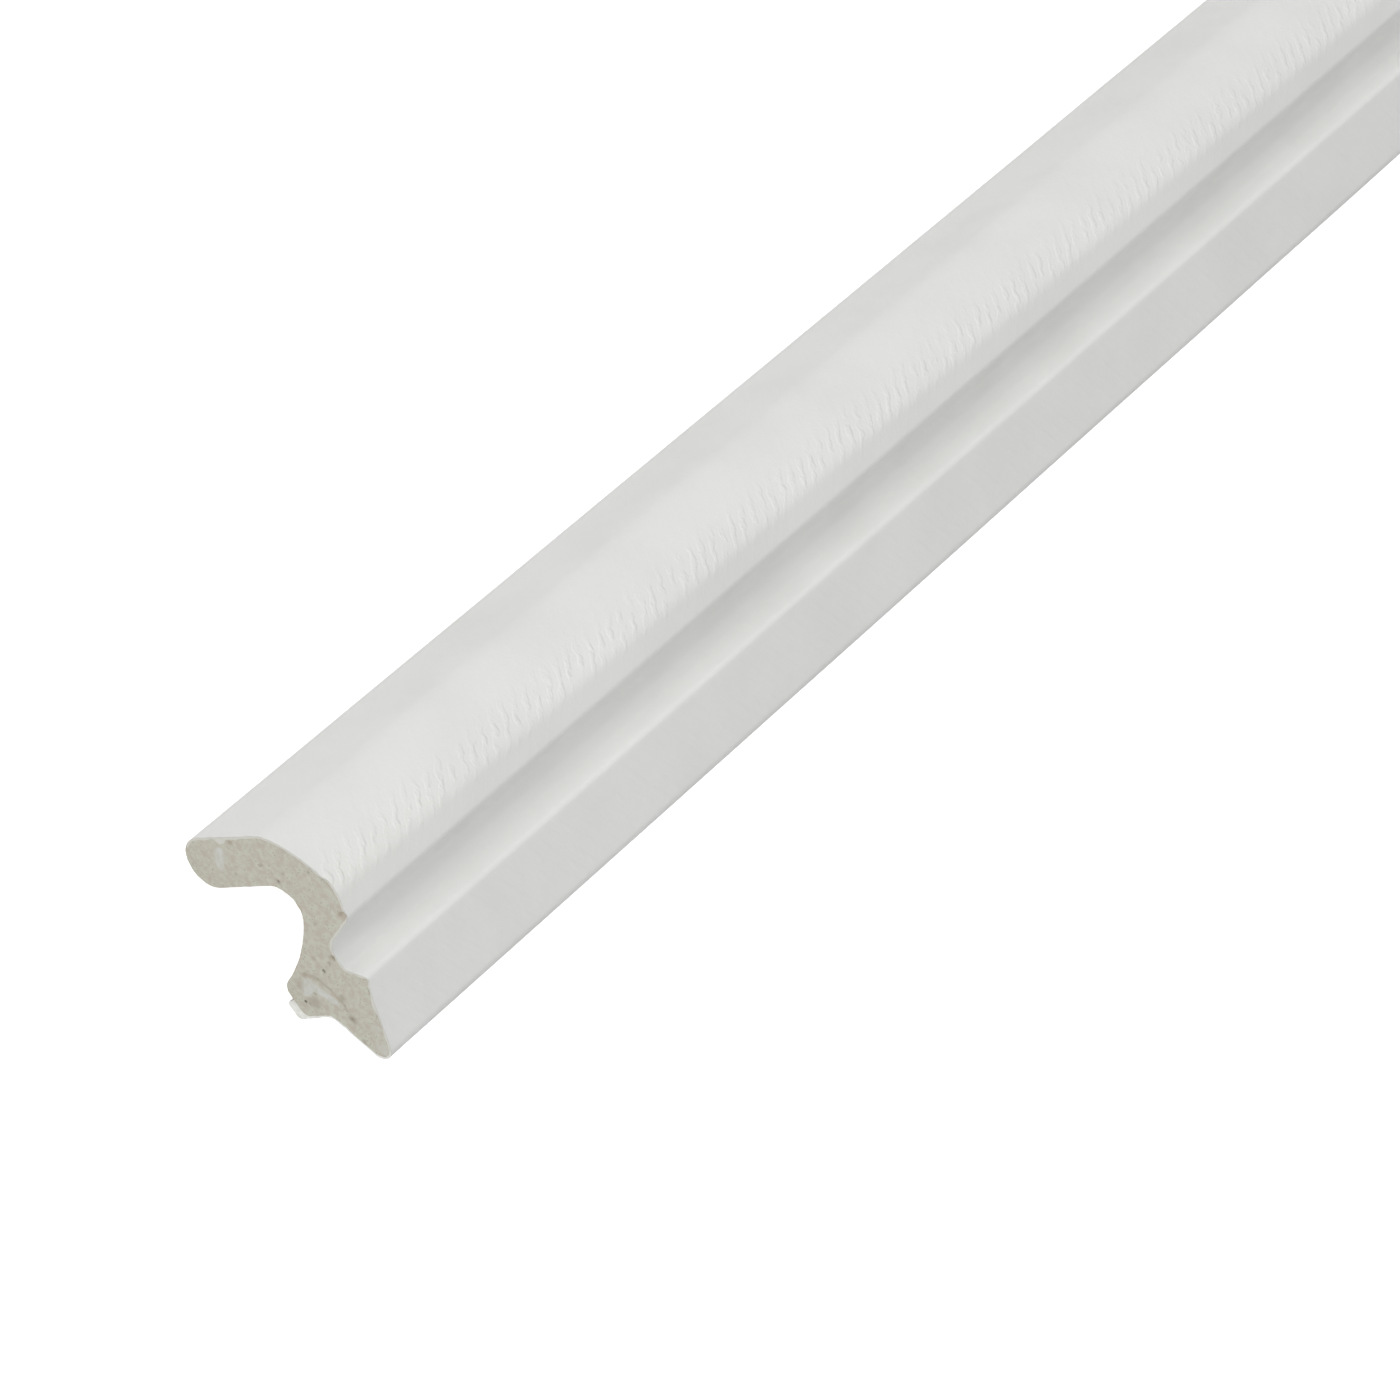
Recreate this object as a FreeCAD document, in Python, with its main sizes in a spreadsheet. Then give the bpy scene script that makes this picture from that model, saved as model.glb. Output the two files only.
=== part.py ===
import FreeCAD, Part
import math
import os
from collections import namedtuple

import Sketcher

# A length of decorative moulding that frames a panel. Its foamed core has one section along the whole
# length: an arch that springs from a round bulb, a groove, a small peak, a sloping fascia and, under the
# fascia, a foot with a rebate beside it. A thin white coat covers the show face and ends, under the foot,
# in a thicker bead. Two pale strands of the foam run along inside the core.
#
# Frame: +X from the bulb to the fascia's tip, +Y along the length, +Z from the back to the show face.
# The origin is midway along, midway across, on the plane that the bulb and the foot's bead stand on.
# Lengths are in millimetres and angles in degrees.

SIZES = {
    # overall
    "moulding_length": 400.0,
    "overall_width": 40.0,
    "overall_height": 25.3,
    # arch, from the bulb's outer side to the crest
    "bulb_radius": 4.1,
    "haunch_radius": 8.1,
    "haunch_inset": 3.0,  # bulb's outer side to the haunch's outer side
    "haunch_drop": 2.95,  # crest to the top of the haunch's round
    "crown_radius": 20.5,
    "arch_width": 15.1,  # bulb's outer side to the centre of the crest's round
    "crest_radius": 3.2,
    # shoulder, groove and peak
    "shoulder_run": 3.3,  # centre of the crest's round to centre of the shoulder's
    "shoulder_drop": 1.15,  # crest to the top of the shoulder
    "shoulder_radius": 1.5,
    "groove_run": 5.65,  # centre of the shoulder's round to centre of the groove's first fillet
    "groove_depth": 9.1,
    "groove_floor": 1.45,
    "groove_wall_fillet": 2.8,
    "groove_slope_fillet": 0.6,
    "peak_run": 2.8,  # centre of the groove's second fillet to centre of the peak's round
    "peak_drop": 6.3,  # crest to the top of the peak
    "peak_radius": 0.9,
    # fascia's tip and the rebate under it
    "tip_radius": 2.2,
    "tip_height": 10.0,  # back plane to the underside of the tip
    "rebate_height": 7.6,  # back plane to the top of the rebate's fillet
    "rebate_fillet": 2.4,
    # hollow of the back
    "cavity_width": 15.8,  # between the bulb and the foot
    "cavity_height": 15.9,
    "cavity_radius": 4.0,
    "cavity_inset": 2.3,  # bulb's inner side to the hollow's side at its top
    "waist_radius": 28.5,
    # foot
    "foot_width": 7.0,
    "lobe_radius": 2.2,
    "foot_corner_radius": 1.5,
    "foot_corner_inset": 0.9,  # coated side of the foot to the core's corner
    # white coat and its bead
    "coat_thickness": 0.3,
    "coat_wrap": 30.0,  # angle that the coat reaches below the middle of the bulb
    "coat_stop": 30.0,  # angle above the middle of the rebate's fillet where the bead takes over
    "bead_depth": 1.7,
    "bead_width": 3.2,
    "bead_taper": 0.9,  # how far the coated side of the foot leans in at the bead
    "bead_outer_radius": 1.05,
    "bead_inner_radius": 0.4,
    # pale strands in the core
    "streak_length": 2.6,
    "streak_radius": 0.5,
    "streak_lean": 43.0,  # angle of the bulb's strand from upright
    "streak_height": 7.1,
    "hook_reach": 3.7,
    "hook_rise": 2.9,
    "hook_drop": 1.8,
    "hook_radius": 0.9,
    "hook_notch": 0.5,
    "hook_tail_radius": 0.35,
    "hook_height": 6.9,
    "hook_inset": 1.9,  # foot's inner side to the centre of the hook's round
}

OUTWARD = 1  # a round with the material inside it
INWARD = -1  # a fillet, with the material outside it

# A round or fillet of an outline, in the order that a clockwise walk meets them. One with no centre of its
# own is a blend: its radius and its two neighbours place it.
Round = namedtuple("Round", "name x z radius turn")


def blend(name, radius, turn):
    return Round(name, None, None, radius, turn)


# Places that several pieces share, as expressions on the sheet.
BULB_SIDE = "-sizes.overall_width / 2"
CREST_X = f"({BULB_SIDE} + sizes.arch_width)"
SHOULDER_X = f"({CREST_X} + sizes.shoulder_run)"
GROOVE_X = f"({SHOULDER_X} + sizes.groove_run)"
GROOVE_Z = "(sizes.overall_height - sizes.groove_depth)"
PEAK_X = f"({GROOVE_X} + sizes.groove_floor + sizes.peak_run)"
CAVITY_SIDE = f"({BULB_SIDE} + 2 * sizes.bulb_radius)"
FOOT_INNER = f"({CAVITY_SIDE} + sizes.cavity_width)"
FOOT_OUTER = f"({FOOT_INNER} + sizes.foot_width)"
REBATE_ROOM = f"(sizes.overall_width / 2 - sizes.tip_radius - {FOOT_OUTER})"
REBATE_FILLET = f"min(sizes.rebate_fillet; {REBATE_ROOM} / 2)"
STREAK_X = f"({BULB_SIDE} + sizes.bulb_radius)"
HOOK_X = f"({FOOT_INNER} + sizes.hook_inset)"

BULB = Round("bulb", f"{BULB_SIDE} + sizes.bulb_radius", "sizes.bulb_radius", "sizes.bulb_radius", OUTWARD)
HAUNCH = Round(
    "haunch",
    f"{BULB_SIDE} + sizes.haunch_inset + sizes.haunch_radius",
    "sizes.overall_height - sizes.haunch_drop - sizes.haunch_radius",
    "sizes.haunch_radius",
    OUTWARD,
)
CREST = Round(
    "crest", CREST_X, "sizes.overall_height - sizes.crest_radius", "sizes.crest_radius", OUTWARD
)
SHOULDER = Round(
    "shoulder",
    SHOULDER_X,
    "sizes.overall_height - sizes.shoulder_drop - sizes.shoulder_radius",
    "sizes.shoulder_radius",
    OUTWARD,
)
GROOVE_WALL = Round(
    "groove_wall",
    GROOVE_X,
    f"{GROOVE_Z} + sizes.groove_wall_fillet",
    "sizes.groove_wall_fillet",
    INWARD,
)
GROOVE_SLOPE = Round(
    "groove_slope",
    f"{GROOVE_X} + sizes.groove_floor",
    f"{GROOVE_Z} + sizes.groove_slope_fillet",
    "sizes.groove_slope_fillet",
    INWARD,
)
PEAK = Round(
    "peak",
    PEAK_X,
    "sizes.overall_height - sizes.peak_drop - sizes.peak_radius",
    "sizes.peak_radius",
    OUTWARD,
)
TIP = Round(
    "tip",
    "sizes.overall_width / 2 - sizes.tip_radius",
    "sizes.tip_height + sizes.tip_radius",
    "sizes.tip_radius",
    OUTWARD,
)
REBATE = Round(
    "rebate",
    f"{FOOT_OUTER} + {REBATE_FILLET}",
    f"sizes.rebate_height - {REBATE_FILLET}",
    REBATE_FILLET,
    INWARD,
)
FOOT_CORNER = Round(
    "foot_corner",
    f"{FOOT_OUTER} - sizes.foot_corner_inset - sizes.foot_corner_radius",
    "sizes.bead_depth + sizes.foot_corner_radius",
    "sizes.foot_corner_radius",
    OUTWARD,
)
LOBE = Round(
    "lobe",
    f"{FOOT_INNER} + sizes.lobe_radius",
    "sizes.bead_depth + sizes.lobe_radius",
    "sizes.lobe_radius",
    OUTWARD,
)
CAVITY = Round(
    "cavity",
    f"{CAVITY_SIDE} + sizes.cavity_inset + sizes.cavity_radius",
    "sizes.cavity_height - sizes.cavity_radius",
    "sizes.cavity_radius",
    INWARD,
)
CROWN = blend("crown", "sizes.crown_radius", OUTWARD)
WAIST = blend("waist", "sizes.waist_radius", INWARD)
BEAD_OUTER = Round(
    "bead_outer",
    f"{FOOT_OUTER} - sizes.bead_taper - sizes.bead_outer_radius",
    "sizes.bead_outer_radius",
    "sizes.bead_outer_radius",
    OUTWARD,
)
BEAD_INNER = Round(
    "bead_inner",
    f"{FOOT_OUTER} - sizes.bead_taper - sizes.bead_width + sizes.bead_inner_radius",
    "sizes.bead_inner_radius",
    "sizes.bead_inner_radius",
    OUTWARD,
)

# Outer line of the coat, from the bulb over the show face, round the tip and back to the foot.
SHOW_FACE = [BULB, HAUNCH, CROWN, CREST, SHOULDER, GROOVE_WALL, GROOVE_SLOPE, PEAK, TIP, REBATE]
# The core's own surface, from the foot through the hollow to the bulb.
BACK = [FOOT_CORNER, LOBE, WAIST, CAVITY]


def leaves_fillet(there, turn, reach):
    """Angle on the rebate's fillet where the straight run to another round leaves it."""
    across, up = f"({there.x} - ({REBATE.x}))", f"({there.z} - ({REBATE.z}))"
    return f"(180 + (atan2({turn} * {up}; {turn} * {across}) + acos({reach} / hypot({across}; {up}))) / 1deg)"


# The coat stops at its own angle, and never in the first third of the fillet.
FASCIA_SIDE = leaves_fillet(TIP, -1, f"({TIP.radius} + {REBATE.radius})")
FOOT_SIDE = leaves_fillet(BEAD_OUTER, 1, f"(-{BEAD_OUTER.radius} - {REBATE.radius})")

COAT_START = "180 + sizes.coat_wrap"
COAT_STOP = f"max(180 - sizes.coat_stop; {FASCIA_SIDE} + ({FOOT_SIDE} - {FASCIA_SIDE}) / 3)"
LEFT = "180"
BOTTOM = "270"

STREAK_SHIFT_X = "sizes.streak_length / 2 * sin(sizes.streak_lean)"
STREAK_SHIFT_Z = "sizes.streak_length / 2 * cos(sizes.streak_lean)"
STREAK = [
    Round(
        "streak_top",
        f"{STREAK_X} - {STREAK_SHIFT_X}",
        f"sizes.streak_height + {STREAK_SHIFT_Z}",
        "sizes.streak_radius",
        OUTWARD,
    ),
    Round(
        "streak_foot",
        f"{STREAK_X} + {STREAK_SHIFT_X}",
        f"sizes.streak_height - {STREAK_SHIFT_Z}",
        "sizes.streak_radius",
        OUTWARD,
    ),
]
HOOK = [
    Round(
        "hook_tail",
        f"{HOOK_X} + sizes.hook_radius",
        "sizes.hook_height - sizes.hook_drop",
        "sizes.hook_tail_radius",
        OUTWARD,
    ),
    Round("hook_bend", HOOK_X, "sizes.hook_height", "sizes.hook_radius", OUTWARD),
    Round(
        "hook_end",
        f"{HOOK_X} + sizes.hook_reach",
        "sizes.hook_height + sizes.hook_rise",
        "sizes.hook_tail_radius",
        OUTWARD,
    ),
    Round(
        "hook_inside",
        f"{HOOK_X} + sizes.hook_radius + sizes.hook_notch",
        "sizes.hook_height",
        "sizes.hook_tail_radius",
        INWARD,
    ),
]


def under_coat(outline):
    """The same outline as the core has it, one coat's thickness inside the surface."""
    return [
        item._replace(
            name=item.name + "_core",
            radius=f"({item.radius}) - ({item.turn}) * sizes.coat_thickness",
        )
        for item in outline
    ]


class Outline:
    """Draws outlines of rounds and of straight runs tangent to them in one sketch.

    Every round's centre and radius is a constraint bound to the sheet, and tangency places the rest.
    """

    def __init__(self, sketch, sheet):
        self.sketch = sketch
        self.sheet = sheet

    def value(self, expression):
        return float(self.sheet.evalExpression(expression))

    def bind(self, name, expression, kind, *where):
        """Adds a dimension with its name and its expression."""
        number = self.sketch.addConstraint(Sketcher.Constraint(kind, *where, self.value(expression)))
        self.sketch.renameConstraint(number, name)
        self.sketch.setExpression("Constraints." + name, expression)

    def place(self, outline):
        """Centre and signed radius of every round, the blends after the rounds beside them."""
        placed = [
            (FreeCAD.Vector(self.value(item.x), self.value(item.z), 0), item.turn * self.value(item.radius))
            if item.x
            else None
            for item in outline
        ]
        for i, item in enumerate(outline):
            if item.x:
                continue
            before, after = placed[i - 1], placed[(i + 1) % len(outline)]
            reach = item.turn * self.value(item.radius)
            choices = self.blend_centres(before, after, reach)
            placed[i] = min(choices, key=lambda choice: self.sweep(choice, before, after))
        return placed

    @staticmethod
    def blend_centres(before, after, reach):
        """The two circles of signed radius reach that touch both neighbours."""
        (first, first_reach), (last, last_reach) = before, after
        from_first, from_last = abs(first_reach - reach), abs(last_reach - reach)
        span = last - first
        along = (span.Length**2 + from_first**2 - from_last**2) / (2 * span.Length)
        aside = math.sqrt(from_first**2 - along**2)
        unit = FreeCAD.Vector(span).normalize()
        square = FreeCAD.Vector(-unit.y, unit.x, 0)
        return [(first + unit * along + square * side, reach) for side in (aside, -aside)]

    def sweep(self, circle, before, after):
        """Angle that a blend turns through between its neighbours."""
        turned = self.normal(before, circle, True) - self.normal(circle, after, True)
        return turned * math.copysign(1, circle[1]) % (2 * math.pi)

    @staticmethod
    def normal(start, end, touching):
        """Direction of the surface's left normal where two rounds meet or a straight run joins them."""
        (first, first_reach), (last, last_reach) = start, end
        span = last - first
        if touching:
            span = span * math.copysign(1, first_reach - last_reach)
            return math.atan2(span.y, span.x)
        return math.atan2(span.y, span.x) + math.acos((first_reach - last_reach) / span.Length)

    @staticmethod
    def point(circle, normal):
        centre, reach = circle
        return centre + FreeCAD.Vector(math.cos(normal), math.sin(normal), 0) * reach

    def trace(self, outline, start=None, stop=None):
        """Draws an outline, closed, or open from the angle start on its first round to stop on its last."""
        closed = start is None
        placed = self.place(outline)
        count = len(outline)
        normals = []
        for i in range(count if closed else count - 1):
            touching = not (outline[i].x and outline[(i + 1) % count].x)
            normals.append(self.normal(placed[i], placed[(i + 1) % count], touching))
        arcs = []
        for i, item in enumerate(outline):
            first = math.radians(self.value(start)) if i == 0 and not closed else None
            last = math.radians(self.value(stop)) if i == count - 1 and not closed else None
            flip = 0 if item.turn == OUTWARD else math.pi
            entry = normals[i - 1] + flip if first is None else first
            leave = normals[i] + flip if last is None else last
            arcs.append(self.arc(item, placed[i], entry, leave))
        for i, normal in enumerate(normals):
            here, there = arcs[i], arcs[(i + 1) % count]
            if outline[i].x and outline[(i + 1) % count].x:
                points = self.point(placed[i], normal), self.point(placed[(i + 1) % count], normal)
                run = self.sketch.addGeometry(Part.LineSegment(*points))
                self.hold("Tangent", here["leave"], (run, 1))
                self.hold("Tangent", (run, 2), there["entry"])
            else:
                self.hold("Tangent", here["leave"], there["entry"])
        if closed:
            return None
        self.fix_end(outline[0], arcs[0]["entry"], start, "start")
        self.fix_end(outline[-1], arcs[-1]["leave"], stop, "stop")
        return arcs[0]["entry"], arcs[-1]["leave"]

    def arc(self, item, circle, entry, leave):
        """Adds a round as an arc, and says which of its ends the walk meets first."""
        centre, reach = circle
        clockwise = item.turn == OUTWARD
        low, high = (leave, entry) if clockwise else (entry, leave)
        turned = (high - low) % (2 * math.pi)
        whole = Part.Circle(centre, FreeCAD.Vector(0, 0, 1), abs(reach))
        number = self.sketch.addGeometry(Part.ArcOfCircle(whole, low, low + turned))
        self.bind(item.name + "_radius", item.radius, "Radius", number)
        if item.x:
            self.bind(item.name + "_x", item.x, "DistanceX", -1, 1, number, 3)
            self.bind(item.name + "_z", item.z, "DistanceY", -1, 1, number, 3)
        return {"entry": (number, 2 if clockwise else 1), "leave": (number, 1 if clockwise else 2)}

    def fix_end(self, item, end, angle, word):
        """Holds an open end of an outline at an angle on its round."""
        across = abs(math.cos(math.radians(self.value(angle)))) < math.sqrt(0.5)
        kind, part = ("DistanceX", "cos") if across else ("DistanceY", "sin")
        expression = f"({item.radius}) * {part}({angle})"
        self.bind(f"{item.name}_{word}", expression, kind, end[0], 3, *end)

    def hold(self, kind, one, other):
        self.sketch.addConstraint(Sketcher.Constraint(kind, *one, *other))

    def where(self, end):
        return self.sketch.getPoint(*end)

    def join(self, one, other):
        """Closes two ends with a straight edge."""
        run = self.sketch.addGeometry(Part.LineSegment(self.where(one), self.where(other)))
        self.hold("Coincident", one, (run, 1))
        self.hold("Coincident", (run, 2), other)

    def join_square(self, one, other):
        """Closes two ends with an upright edge from the first and a level edge from the second."""
        corner = FreeCAD.Vector(self.where(one).x, self.where(other).y, 0)
        upright = self.sketch.addGeometry(Part.LineSegment(self.where(one), corner))
        level = self.sketch.addGeometry(Part.LineSegment(corner, self.where(other)))
        self.hold("Coincident", one, (upright, 1))
        self.hold("Coincident", (upright, 2), (level, 1))
        self.hold("Coincident", (level, 2), other)
        self.sketch.addConstraint(Sketcher.Constraint("Vertical", upright))
        self.sketch.addConstraint(Sketcher.Constraint("Horizontal", level))


def draw_core(outline):
    """The core: under the coat, across the foot's bottom, through the hollow and round the bulb."""
    covered = under_coat(SHOW_FACE)
    ends = outline.trace(covered + BACK + [BULB], COAT_START, COAT_START)
    outline.join(*ends)
    outline.trace(STREAK)
    outline.trace(HOOK)


def draw_coat(outline):
    """The coat: the show face and the same line one thickness inside it."""
    outer = outline.trace(SHOW_FACE, COAT_START, COAT_STOP)
    inner = outline.trace(under_coat(SHOW_FACE), COAT_START, COAT_STOP)
    outline.join(outer[0], inner[0])
    outline.join(outer[1], inner[1])


def draw_bead(outline):
    """The bead: from the coat's end in the rebate down the foot's side and under the core's corner."""
    outer = outline.trace([REBATE, BEAD_OUTER, BEAD_INNER], COAT_STOP, LEFT)
    inner = outline.trace(under_coat([REBATE]) + [FOOT_CORNER], COAT_STOP, BOTTOM)
    outline.join(outer[0], inner[0])
    outline.join_square(outer[1], inner[1])


PIECES = {
    "foam_core": draw_core,
    "face_coat": draw_coat,
    "foot_bead": draw_bead,
    "bulb_strand": lambda outline: outline.trace(STREAK),
    "foot_strand": lambda outline: outline.trace(HOOK),
}


def make_sheet(doc):
    """The driving dimensions, one row each, every value under its name."""
    sheet = doc.addObject("Spreadsheet::Sheet", "sizes")
    for row, (name, size) in enumerate(SIZES.items(), start=1):
        sheet.set(f"A{row}", name)
        sheet.set(f"B{row}", str(size))
        sheet.setAlias(f"B{row}", name)
    doc.recompute()
    return sheet


def make_piece(doc, sheet, name, draw):
    """A piece with one section along the whole length."""
    body = doc.addObject("PartDesign::Body", name)
    body.Label = name
    section = body.newObject("Sketcher::SketchObject", name + "_section")
    plane = next(feature for feature in body.Origin.OriginFeatures if feature.Role == "XZ_Plane")
    section.AttachmentSupport = (plane, [""])
    section.MapMode = "FlatFace"
    draw(Outline(section, sheet))
    length = body.newObject("PartDesign::Pad", name + "_length")
    length.Profile = section
    length.SideType = "Symmetric"
    length.setExpression("Length", "sizes.moulding_length")
    body.Placement = FreeCAD.Placement()
    section.Visibility = False
    return body


def check(doc, bodies):
    """Stops the build if an object failed or a piece isn't one valid solid."""
    for thing in doc.Objects:
        faults = {"Invalid", "Error"} & set(thing.State)
        if faults:
            raise RuntimeError(f"{thing.Name}: {faults}")
    for thing in doc.findObjects("Sketcher::SketchObject"):
        if thing.solve() != 0 or not thing.FullyConstrained:
            raise RuntimeError(f"{thing.Name} isn't fully constrained")
    for body in bodies:
        shape = body.Shape
        if shape.isNull() or not shape.isValid() or len(shape.Solids) != 1:
            raise RuntimeError(f"{body.Label} isn't one valid solid")


def main():
    doc = FreeCAD.newDocument("panel_moulding")
    sheet = make_sheet(doc)
    bodies = [make_piece(doc, sheet, name, draw) for name, draw in PIECES.items()]
    doc.recompute()
    check(doc, bodies)
    os.makedirs("parts", exist_ok=True)
    for body in bodies:
        body.Shape.exportStep(os.path.join("parts", body.Label + ".step"))
        print(f"{body.Label}: {body.Shape.Volume / 1000:.2f} cm3")


main()
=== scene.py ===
"""Looks of a length of white panel moulding with a saw-cut end.

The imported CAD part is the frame. Each of its pieces is built again here at the same size, with the detail
that a sawn and handled length has: a broken foam edge, pores, a ragged coat and a faint embossed weave.
Section sizes are in millimetres, with X across, Y along and Z up from the back.
"""

import itertools
import logging
import math
from collections.abc import Callable
from dataclasses import dataclass
from enum import Enum

import bpy
import numpy as np
from mathutils import Matrix, Vector
from mathutils.geometry import delaunay_2d_cdt


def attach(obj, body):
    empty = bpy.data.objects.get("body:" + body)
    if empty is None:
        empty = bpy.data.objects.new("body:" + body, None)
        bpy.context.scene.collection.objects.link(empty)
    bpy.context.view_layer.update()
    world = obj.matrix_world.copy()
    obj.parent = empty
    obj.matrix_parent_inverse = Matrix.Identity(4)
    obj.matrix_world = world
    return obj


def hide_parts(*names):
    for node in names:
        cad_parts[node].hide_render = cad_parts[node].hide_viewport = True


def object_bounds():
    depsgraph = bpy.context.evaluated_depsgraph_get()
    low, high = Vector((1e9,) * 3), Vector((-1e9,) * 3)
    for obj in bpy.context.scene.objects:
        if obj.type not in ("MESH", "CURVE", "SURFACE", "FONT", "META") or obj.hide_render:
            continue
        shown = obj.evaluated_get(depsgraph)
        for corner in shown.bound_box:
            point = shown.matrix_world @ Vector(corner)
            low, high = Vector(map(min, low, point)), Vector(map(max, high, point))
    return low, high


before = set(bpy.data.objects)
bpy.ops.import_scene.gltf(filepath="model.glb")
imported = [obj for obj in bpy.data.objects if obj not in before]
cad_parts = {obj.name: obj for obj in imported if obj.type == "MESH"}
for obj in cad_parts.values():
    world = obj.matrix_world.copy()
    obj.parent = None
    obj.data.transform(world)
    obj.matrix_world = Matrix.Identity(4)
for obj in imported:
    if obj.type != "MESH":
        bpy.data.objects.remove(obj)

LOG = logging.getLogger("moulding")
MM = 0.001
CAD_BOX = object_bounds()
FULL_TURN = 2 * math.pi

# Longest steps between the points of an outline, in millimetres.
ARC_STEP = 0.16
FACE_STEP = 0.3
BACK_STEP = 0.35
STRAND_STEPS = (0.2, 0.1)
SAME_POINT = 1e-4

Colour = tuple[float, float, float, float]
Band = tuple[float, ...]


# ---- outlines


class Turn(Enum):
    """Which side of a round the material is on."""

    OUTWARD = 1
    INWARD = -1


@dataclass(frozen=True)
class Round:
    """A round or fillet of the section. Without a centre, it is a blend that its neighbours place."""

    radius: float
    turn: Turn
    x: float | None = None
    z: float | None = None

    @property
    def reach(self) -> float:
        """Radius, negative for a fillet."""
        return self.radius * self.turn.value

    @property
    def fixed(self) -> bool:
        """Whether it has a centre of its own."""
        return self.x is not None


@dataclass(frozen=True)
class Trail:
    """Points along an outline, each with the direction that its surface faces."""

    points: np.ndarray
    normals: np.ndarray

    def inside(self, depth: float | np.ndarray) -> np.ndarray:
        """The same line moved into the material by a depth, as an array of points."""
        return self.points - self.normals * np.reshape(depth, (-1, 1))


class Outline:
    """Rounds joined by straight runs that touch them both, walked clockwise."""

    def __init__(self, rounds: list[Round], ends: tuple[float, float] | None = None) -> None:
        """Places every round.

        Args:
            rounds: the rounds in the order that the walk meets them.
            ends: angles in degrees on the first and the last round where an open outline ends.
        """
        self.rounds = rounds
        self.ends = ends
        self.centres = [complex(r.x, r.z) if r.fixed else 0j for r in rounds]
        for i, item in enumerate(rounds):
            if not item.fixed:
                self.centres[i] = self._blend_centre(i)

    def _blend_centre(self, i: int) -> complex:
        """Centre of a blend: it lies at its neighbours' summed radii from their centres.

        Args:
            i: the blend's place in the outline.

        Returns:
            The centre that makes the blend turn through the smaller angle.
        """
        j = (i + 1) % len(self.rounds)
        before, item, after = self.rounds[i - 1], self.rounds[i], self.rounds[j]
        first, last = self.centres[i - 1], self.centres[j]
        from_first, from_last = abs(before.reach - item.reach), abs(after.reach - item.reach)
        span = last - first
        along = (abs(span) ** 2 + from_first**2 - from_last**2) / (2 * abs(span))
        aside = math.sqrt(from_first**2 - along**2)
        choices = [first + span / abs(span) * complex(along, side) for side in (aside, -aside)]

        def turned(centre: complex) -> float:
            """Angle that the blend turns through from this centre."""
            entry = np.angle((centre - first) * np.sign(before.reach - item.reach))
            leave = np.angle((last - centre) * np.sign(item.reach - after.reach))
            return (entry - leave) * item.turn.value % FULL_TURN

        return min(choices, key=turned)

    def _meeting(self, i: int, j: int) -> float:
        """Direction that the surface faces where one round hands over to the next.

        Args:
            i: the first round's place in the outline.
            j: the next one's.

        Returns:
            The direction in radians, from +X towards +Z.
        """
        span = self.centres[j] - self.centres[i]
        difference = self.rounds[i].reach - self.rounds[j].reach
        if self.rounds[i].fixed and self.rounds[j].fixed:
            return float(np.angle(span)) + math.acos(difference / abs(span))
        return float(np.angle(span * np.sign(difference)))

    def trail(self, step: float, arc_step: float = ARC_STEP) -> Trail:
        """Samples the outline: each arc at even angles, each straight run at even lengths.

        Args:
            step: the longest stretch between two points of a straight run.
            arc_step: the same on an arc.

        Returns:
            The sampled outline, without a repeated last point where it is closed.
        """
        count = len(self.rounds)
        closed = self.ends is None
        facing = [self._meeting(i, (i + 1) % count) for i in range(count if closed else count - 1)]
        spots: list[np.ndarray] = []
        faces: list[np.ndarray] = []
        for i, item in enumerate(self.rounds):
            flip = 0.0 if item.turn is Turn.OUTWARD else math.pi
            entry = facing[i - 1] if closed or i > 0 else math.radians(self.ends[0]) + flip
            leave = facing[i] if closed or i < count - 1 else math.radians(self.ends[1]) + flip
            turned = (entry - leave) * item.turn.value % FULL_TURN
            pieces = max(3, math.ceil(turned * item.radius / arc_step))
            angles = entry - item.turn.value * np.linspace(0, turned, pieces + 1)
            spots.append(self.centres[i] + item.reach * np.exp(1j * angles))
            faces.append(np.exp(1j * angles))
            if (closed or i < count - 1) and item.fixed and self.rounds[(i + 1) % count].fixed:
                j = (i + 1) % count
                start = spots[-1][-1]
                stop = self.centres[j] + self.rounds[j].reach * np.exp(1j * facing[i])
                share = np.linspace(0, 1, math.ceil(abs(stop - start) / step) + 1)[1:-1]
                spots.append(start + (stop - start) * share)
                faces.append(np.full(len(share), np.exp(1j * facing[i])))
        line, face = np.concatenate(spots), np.concatenate(faces)
        keep = np.abs(line - np.roll(line, 1)) > SAME_POINT
        keep[0] |= not closed
        line, face = line[keep], face[keep]
        return Trail(np.column_stack([line.real, line.imag]), np.column_stack([face.real, face.imag]))


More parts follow.
